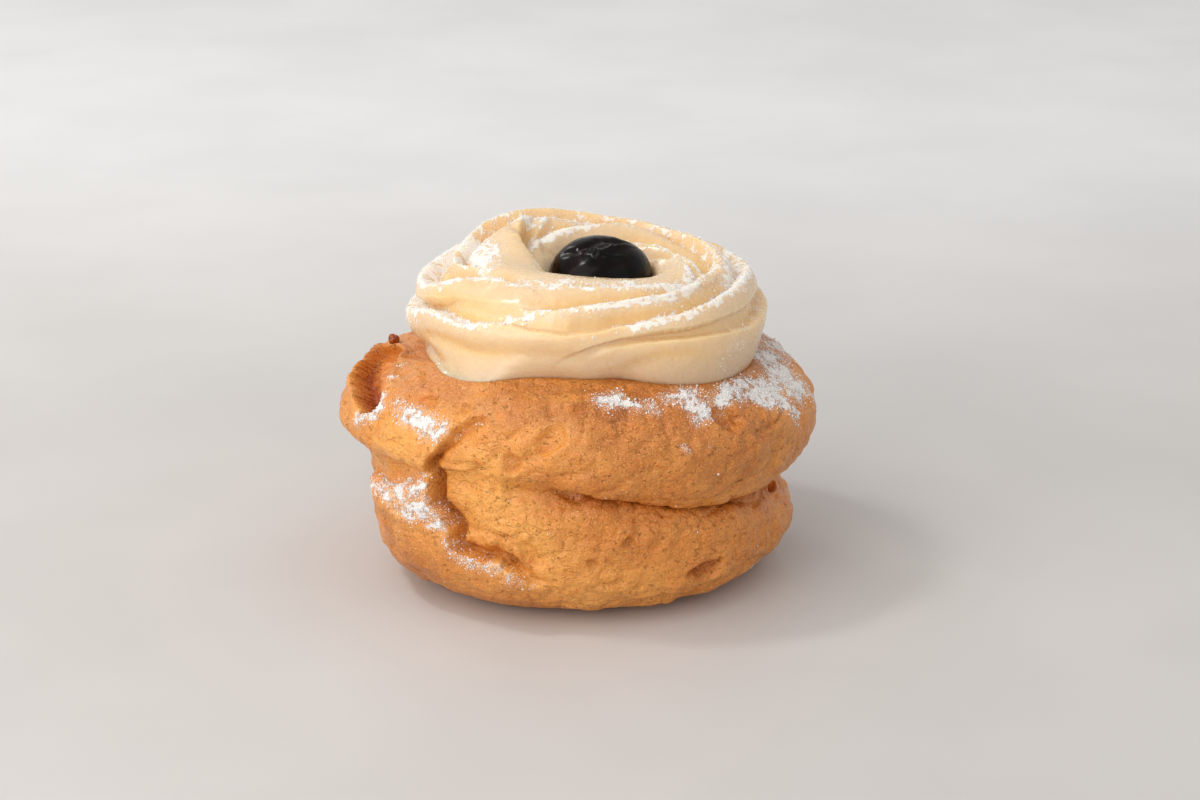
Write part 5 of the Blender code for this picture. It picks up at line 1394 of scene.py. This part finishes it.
# A vein runs where a slow noise crosses its middle, and comes and goes with a slower one.
from_middle = maths(tree, "SUBTRACT", noise(tree, 3.0, 2.0, 0.5, DRAWN_UP, 0.3), 0.5)
vein = between(tree, maths(tree, "ABSOLUTE", from_middle), 0.0, 0.035, 1.0, 0.0)
vein = times(tree, vein, between(tree, noise(tree, 5.0, 2.0), 0.42, 0.58))
pores = between(tree, noise(tree, 0.9, 3.0, 0.6), 0.30, 0.38, 1.0, 0.0)
specks = between(tree, noise(tree, 0.9, 2.0, 0.7), 0.68, 0.76, 0.0, 0.25)
powder = powder_film(tree, thin=0.88, thick=1.18, most=0.94)
colour = laid_on(
    tree,
    tint(tree, mottled, GOLDEN, PALE_GOLD),
    [
        (times(tree, mask(tree, "pale"), 0.8), PALE_DOUGH),
        (times(tree, mask(tree, "browned"), browning), DEEP_BROWN),
        # torn mask: crumb orange in the tears and the bubble, painted warm shade in sunk places and the fold
        (times(tree, mask(tree, "torn"), 0.75), TORN_AND_SHADED_ORANGE),
        # painted shade, a darker brown, under the cleft's lip, in the hollows and in the fold
        (times(tree, mask(tree, "shaded"), 0.8), SHADED_BROWN),
        (mask(tree, "bubble"), BUBBLE_PALE),
        # the bubble's red inside, and painted red-brown shade in the hollows
        (mask(tree, "burst"), BURST_AND_HOLLOW_RED),
        (flakes, FLAKE_ORANGE),
        (dark_grain, FINE_DARK),
        (pale_grain, FINE_PALE),
        (times(tree, vein, 0.14), FINE_DARK),
        (times(tree, pores, 0.30), FINE_DARK),
        (specks, DEEP_BROWN),
        (sugar_veil(tree, 0.40, 0.62, 0.04, 0.34), SUGAR_WHITE),
        (powder, SUGAR_WHITE),
    ],
)
print("The crust's colour has", len(tree.nodes), "nodes")

# %% [markdown]
# ### The crust's shine and grain
# Three bumps of different sizes lie on the shape that the mesh already has: a coarse and a fine grain, and
# the veins and pores opened a little. The powder is raised over them all. Where it lies the crust is
# rougher, for sugar hides the oil. A displacement would do the same at a far higher count of faces.

# %% The crust's sheen and grain
opened = maths(tree, "MAXIMUM", times(tree, vein, 0.6), pores)
bumps = raised(
    tree,
    [
        (noise(tree, 1.1, 4.0, 0.65, (1, 1, 0.7)), 0.26),
        (noise(tree, 0.45, 3.0, 0.65), 0.22),
        (maths(tree, "SUBTRACT", 1.0, opened), 0.16),
        (powder, 0.15),
    ],
)
roughness = between(tree, noise(tree, 0.8, 3.0), 0.3, 0.7, 0.30, 0.50)
fill(
    tree,
    shader,
    {
        "Base Color": colour,
        "Roughness": maths(tree, "ADD", roughness, times(tree, powder, 0.3), clamp=True),
        "Normal": bumps,
        "Specular IOR Level": 0.5,
        "Coat Weight": 0.15,
        "Coat Roughness": 0.28,
        "Subsurface Weight": 0.15,
        "Subsurface Radius": (1.0, 0.45, 0.15),
        "Subsurface Scale": 1.2 * MM,
    },
)
choux.data.materials.append(crust)
print("The crust's finish has", len(tree.nodes), "nodes")

# %% [markdown]
# ### The burnt crumb's finish
# What fried longest is nearly black-brown, matt and rough. It could share the crust's recipe, but two
# browns mixed by a noise of the crumb's own size are enough for so small a piece.

# %% The burnt crumb's finish
BURNT_BROWN, CARAMEL = (0.17, 0.022, 0.002, 1), (0.42, 0.10, 0.010, 1)
burnt, tree, shader = finish("burnt_sugar_crust")
colour = tint(tree, between(tree, noise(tree, 0.8, 3.0), 0.35, 0.65), BURNT_BROWN, CARAMEL)
roughness = between(tree, noise(tree, 0.6), 0.3, 0.7, 0.35, 0.6)
bumps = raised(tree, [(noise(tree, 0.4, 3.0), 0.12)])
fill(tree, shader, {"Base Color": colour, "Roughness": roughness, "Normal": bumps})
crumb.data.materials.append(burnt)
print("The crumb's finish has", len(tree.nodes), "nodes")

# %% [markdown]
# ### The pastry cream
# Pastry cream is a thick custard: light sinks into it and comes out again, so it glows in its grooves, and
# its wet skin has a soft gloss. Subsurface scattering does the first, helped by painted shade and glow in
# the grooves, and a low roughness the second. A plain diffuse cream would look like plaster.

# %% The cream's finish
CUSTARD, PALE_CUSTARD = (0.76, 0.555, 0.33, 1), (0.78, 0.58, 0.355, 1)
# Deep custard is painted golden shade and glow in the grooves; thin custard is the thin skirt, with painted
# shade on its side away from the light.
GROOVE_SHADE_CUSTARD, THIN_AND_SHADED_CUSTARD = (0.80, 0.50, 0.175, 1), (0.55, 0.375, 0.24, 1)
SUGARED_CUSTARD = (0.93, 0.88, 0.82, 1)
custard, tree, shader = finish("pastry_cream")
powder = powder_film(tree, thin=0.82, thick=1.22, most=0.90)
colour = laid_on(
    tree,
    tint(tree, between(tree, noise(tree, 8.0), 0.35, 0.65, 0.0, 0.5), CUSTARD, PALE_CUSTARD),
    [
        # painted shade and glow in the grooves
        (mask(tree, "groove"), GROOVE_SHADE_CUSTARD),
        # thin skirt, with painted shade on its side away from the light
        (times(tree, mask(tree, "skirt"), 0.9), THIN_AND_SHADED_CUSTARD),
        (sugar_veil(tree, 0.38, 0.62, 0.05, 0.40), SUGAR_WHITE),
        (powder, SUGARED_CUSTARD),
    ],
)
roughness = between(tree, noise(tree, 1.5, 3.0), 0.3, 0.7, 0.20, 0.34)
fill(
    tree,
    shader,
    {
        "Base Color": colour,
        "Roughness": maths(tree, "ADD", roughness, times(tree, powder, 0.35), clamp=True),
        "Normal": raised(tree, [(noise(tree, 0.9, 3.0), 0.05), (powder, 0.12)]),
        "Specular IOR Level": 0.5,
        "Coat Weight": 0.25,
        "Coat Roughness": 0.15,
        "Subsurface Weight": 0.7,
        "Subsurface Radius": (1.0, 0.75, 0.42),
        "Subsurface Scale": 2.5 * MM,
    },
)
cream.data.materials.append(custard)
print("The cream's finish has", len(tree.nodes), "nodes")

# %% [markdown]
# ### The syrup-black cherry
# The cherry's skin is nearly black with a hint of deep red, under a film of syrup. The film could be a
# second skin of glass, but a coat shows the same: a second, smoother shine over a duller one.

# %% The cherry's finish
SYRUP_BLACK, SYRUP_RED = (0.001, 0.0004, 0.0003, 1), (0.006, 0.0012, 0.0007, 1)
syrup, tree, shader = finish("syrup_black_cherry")
fill(
    tree,
    shader,
    {
        "Base Color": tint(tree, between(tree, noise(tree, 3.0, 3.0), 0.4, 0.7), SYRUP_BLACK, SYRUP_RED),
        "Roughness": between(tree, noise(tree, 1.2, 3.0), 0.3, 0.7, 0.20, 0.34),
        "Normal": raised(tree, [(noise(tree, 1.6, 3.0), 0.06)]),
        "Specular IOR Level": 0.04,
        "Coat Weight": 0.18,
        "Coat Roughness": 0.13,
    },
)
cherry.data.materials.append(syrup)
print("The cherry's finish has", len(tree.nodes), "nodes")

# %% [markdown]
# ## Powdered sugar
# The sugar is a fine powder, and it clings together in grains and small clumps of a tenth to half a
# millimetre. They are scattered at true size: a point is drawn on the skin by the sugar mask, a grain of
# eight faces is put there, and all grains of one skin are a single mesh. Particles or instances would not
# leave Blender as plain geometry. Many small grains and few large ones look right, because clumps are rare.

# %% Scatter the grains
GRAIN_CORNERS = np.array([[1, 0, 0], [-1, 0, 0], [0, 1, 0], [0, -1, 0], [0, 0, 1], [0, 0, -1]], float)
GRAIN_FACES = np.array(
    [[0, 2, 4], [2, 1, 4], [1, 3, 4], [3, 0, 4], [2, 0, 5], [1, 2, 5], [3, 1, 5], [0, 3, 5]]
)
GRAINS, GRAIN_SIZE, GRAIN_SPREAD, LARGEST_GRAIN = 24500, 0.068, 0.50, 0.26  # radii in mm
LIFTED = (0.1, 0.9)  # how far out of the skin a grain's middle lies, as a share of its radius
DENTED = (0.65, 1.0)  # how far out each of its corners is, as a share of its radius
CHOUX_SUGAR_SEED, CREAM_SUGAR_SEED = 3, 4


def scatter_sugar(name, made, weights, seed):
    """Grains on a skin: corners = place + radius * (turned and dented octahedron), radius log-normal.

    Every grain stays inside the box of the solids."""
    draw = np.random.default_rng(seed)
    mesh = made.data
    mesh.calc_loop_triangles()
    corners = np.empty(len(mesh.loop_triangles) * 3, np.int32)
    mesh.loop_triangles.foreach_get("vertices", corners)
    corners = corners.reshape(-1, 3)
    points, normals = points_of(made)
    a, b, c = (points[corners[:, k]] for k in range(3))
    area = np.linalg.norm(np.cross(b - a, c - a), axis=-1) / 2
    share = np.cumsum(area * weights[corners].mean(1))
    chosen = np.searchsorted(share, draw.uniform(0, share[-1], GRAINS))
    s, t = draw.uniform(size=(2, GRAINS, 1))
    s, t = np.where(s + t > 1, 1 - s, s), np.where(s + t > 1, 1 - t, t)
    place = a[chosen] + s * (b - a)[chosen] + t * (c - a)[chosen]
    spread = np.exp(GRAIN_SPREAD * draw.standard_normal((GRAINS, 1)))
    radius = np.minimum(GRAIN_SIZE * spread, LARGEST_GRAIN)
    place = place + normals[corners[chosen, 0]] * radius * draw.uniform(*LIFTED, (GRAINS, 1))
    place = np.clip(place, np.array(cad_box[0]) / MM + radius, np.array(cad_box[1]) / MM - radius)
    axes, _ = np.linalg.qr(draw.standard_normal((GRAINS, 3, 3)))
    axes *= np.sign(np.linalg.det(axes))[:, None, None]
    dents = draw.uniform(*DENTED, (GRAINS, len(GRAIN_CORNERS), 1))
    shape = np.einsum("nij,kj->nki", axes, GRAIN_CORNERS) * dents * radius[:, None]
    vertices = (place[:, None] + shape).reshape(-1, 3) * MM
    faces = (GRAIN_FACES[None] + len(GRAIN_CORNERS) * np.arange(GRAINS)[:, None, None]).reshape(-1, 3)
    grains = bpy.data.meshes.new(name)
    grains.from_pydata(vertices.tolist(), [], faces.tolist())
    made_grains = bpy.data.objects.new(name, grains)
    bpy.context.scene.collection.objects.link(made_grains)
    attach(made_grains, "root")
    print(name, "has", GRAINS, "grains, the largest", round(2 * float(radius.max()), 2), "mm across")
    return made_grains


sugar_on_choux = scatter_sugar("sugar_on_choux", choux, choux_dusted, CHOUX_SUGAR_SEED)
sugar_on_cream = scatter_sugar("sugar_on_cream", cream, cream_dusted, CREAM_SUGAR_SEED)

# %% [markdown]
# ### The sugar's finish
# Sugar grains are clear crystals, but a heap of broken ones scatters all light, so it is simply a matt warm
# white that varies a little from clump to clump.

# %% The sugar's finish
WARM_WHITE = (0.97, 0.94, 0.92, 1)
powder_white, tree, shader = finish("powdered_sugar")
shade = between(tree, noise(tree, 0.6, 2.0), 0.3, 0.7, 0.86, 0.97)
roughness = between(tree, noise(tree, 0.3), 0.3, 0.7, 0.45, 0.8)
colour = tint(tree, 1.0, WARM_WHITE, shade, "MULTIPLY")
fill(tree, shader, {"Base Color": colour, "Roughness": roughness, "Specular IOR Level": 0.3})
sugar_on_choux.data.materials.append(powder_white)
sugar_on_cream.data.materials.append(powder_white)
print("The sugar's finish has", len(tree.nodes), "nodes")

# %% [markdown]
# ## The studio
# A pale warm floor sweeps up into a cooler backdrop, as in a small photo studio. A floor and a wall would
# meet in a line, so the floor is one swept profile and no edge shows behind the zeppola. Its colour grows
# paler towards the back, which is painted light: it makes up for the lamps' light falling off there.

# %% Floor and backdrop
FLOOR_HALF, FLOOR_BACK, SWEEP_RADIUS, SWEEP_STEPS, WALL_TOP = 1.6, 0.55, 0.5, 25, 1.6  # in metres
WARM_FLOOR, COOL_BACKDROP = (0.575, 0.553, 0.537, 1), (0.80, 0.795, 0.787, 1)
# The floor is painted paler between these distances, in place of light that falls off towards the back.
PALER_FROM, PALER_TO = 0.03, 0.34  # in metres behind the middle


def studio_sweep():
    """A profile of floor, quarter circle and wall, carried along x."""
    turn = np.radians(np.linspace(0, 90, SWEEP_STEPS))
    far = FLOOR_BACK + SWEEP_RADIUS
    y = np.concatenate([[-FLOOR_HALF], FLOOR_BACK + SWEEP_RADIUS * np.sin(turn), [far]])
    z = np.concatenate([[0.0], SWEEP_RADIUS * (1 - np.cos(turn)), [WALL_TOP]])
    left = np.stack([np.full_like(y, -FLOOR_HALF), y, z], -1)
    right = left * (-1, 1, 1)
    count = len(y)
    faces = [(i, i + count, i + count + 1, i + 1) for i in range(count - 1)]
    mesh = bpy.data.meshes.new("studio_floor")
    mesh.from_pydata(np.concatenate([left, right]).tolist(), [], faces)
    mesh.shade_smooth()
    made = bpy.data.objects.new("studio_floor", mesh)
    bpy.context.scene.collection.objects.link(made)
    return made


floor = studio_sweep()
pale, tree, shader = finish("pale_floor")
split = tree.nodes.new("ShaderNodeSeparateXYZ")
fill(tree, split, {0: tree.nodes.new("ShaderNodeTexCoord").outputs["Object"]})
# painted light: paler towards the back
colour = tint(tree, between(tree, split.outputs[1], PALER_FROM, PALER_TO), WARM_FLOOR, COOL_BACKDROP)
clouded = between(tree, noise(tree, 60.0, 3.0), 0.3, 0.7, 0.97, 1.03)
colour = tint(tree, 1.0, colour, clouded, "MULTIPLY")
fill(tree, shader, {"Base Color": colour, "Roughness": 0.55, "Specular IOR Level": 0.25})
floor.data.materials.append(pale)
print("The floor runs", FLOOR_BACK, "m back before it rises")

# %% [markdown]
# ## Light
# One large soft light stands at the front left, like a window. A small one gives the cherry its glint, a
# weak one stands at the front right, cards at the front and the back send light into the shadows, and the
# room's own grey light fills the rest. A sky picture could light it all, but lamps can be moved one at a
# time.

# %% Lights
LOOK_AT = Vector((0.0025, 0.0, 0.0279))
# Place in metres, size in metres, power in watts, colour.
LIGHTS = {
    "window": ((-0.46, -0.33, 0.42), 0.70, 2.20, (1.0, 0.97, 0.93)),
    "window_glint": ((-0.34, -0.02, 0.58), 0.08, 0.75, (1.0, 0.97, 0.94)),
    "fill": ((0.5, -0.45, 0.5), 0.6, 0.3, (0.97, 0.98, 1.0)),
    "front_card": ((-0.30, -0.58, 0.16), 0.50, 1.3, (1.0, 0.97, 0.93)),
    "back_card": ((-0.37, 0.49, 0.39), 0.14, 0.40, (1.0, 0.98, 0.96)),
}
ROOM_GREY, ROOM_STRENGTH = (0.80, 0.80, 0.80, 1), 0.88


def soft_light(name, place, size, power, colour):
    """A square area light that looks at the zeppola."""
    lamp = bpy.data.lights.new(name, "AREA")
    lamp.size, lamp.energy, lamp.color = size, power, colour
    made = bpy.data.objects.new(name, lamp)
    bpy.context.scene.collection.objects.link(made)
    made.location = place
    made.rotation_euler = (LOOK_AT - Vector(place)).to_track_quat("-Z", "Y").to_euler()


for light_name, light in LIGHTS.items():
    soft_light(light_name, *light)
room = bpy.data.worlds.new("room_light")
bpy.context.scene.world = room
room.use_nodes = True
fill(room.node_tree, room.node_tree.nodes["Background"], {0: ROOM_GREY, 1: ROOM_STRENGTH})
print("The studio has", len(LIGHTS), "lights")

# %% [markdown]
# ## The camera
# The camera has a long lens and stands well back, a little above the pastry, so the tiers aren't drawn
# apart by perspective. It aims at a point inside the zeppola, so that changing one angle raises or lowers
# the view. The plain view transform keeps the colours as the finishes give them.

# %% Camera
CAMERA_ELEVATION, CAMERA_DISTANCE, LENS = 19.0, 0.476, 85.0  # in degrees, metres and mm
lens = bpy.data.cameras.new("camera")
lens.lens = LENS
camera = bpy.data.objects.new("camera", lens)
bpy.context.scene.collection.objects.link(camera)
tilt = math.radians(CAMERA_ELEVATION)
towards_camera = Vector((0.0, -math.cos(tilt), math.sin(tilt)))
camera.location = LOOK_AT + towards_camera * CAMERA_DISTANCE
camera.rotation_euler = (-towards_camera).to_track_quat("-Z", "Y").to_euler()
bpy.context.scene.camera = camera
bpy.context.scene.view_settings.view_transform = "Standard"
print("The camera is", CAMERA_DISTANCE, "m away,", CAMERA_ELEVATION, "degrees up")
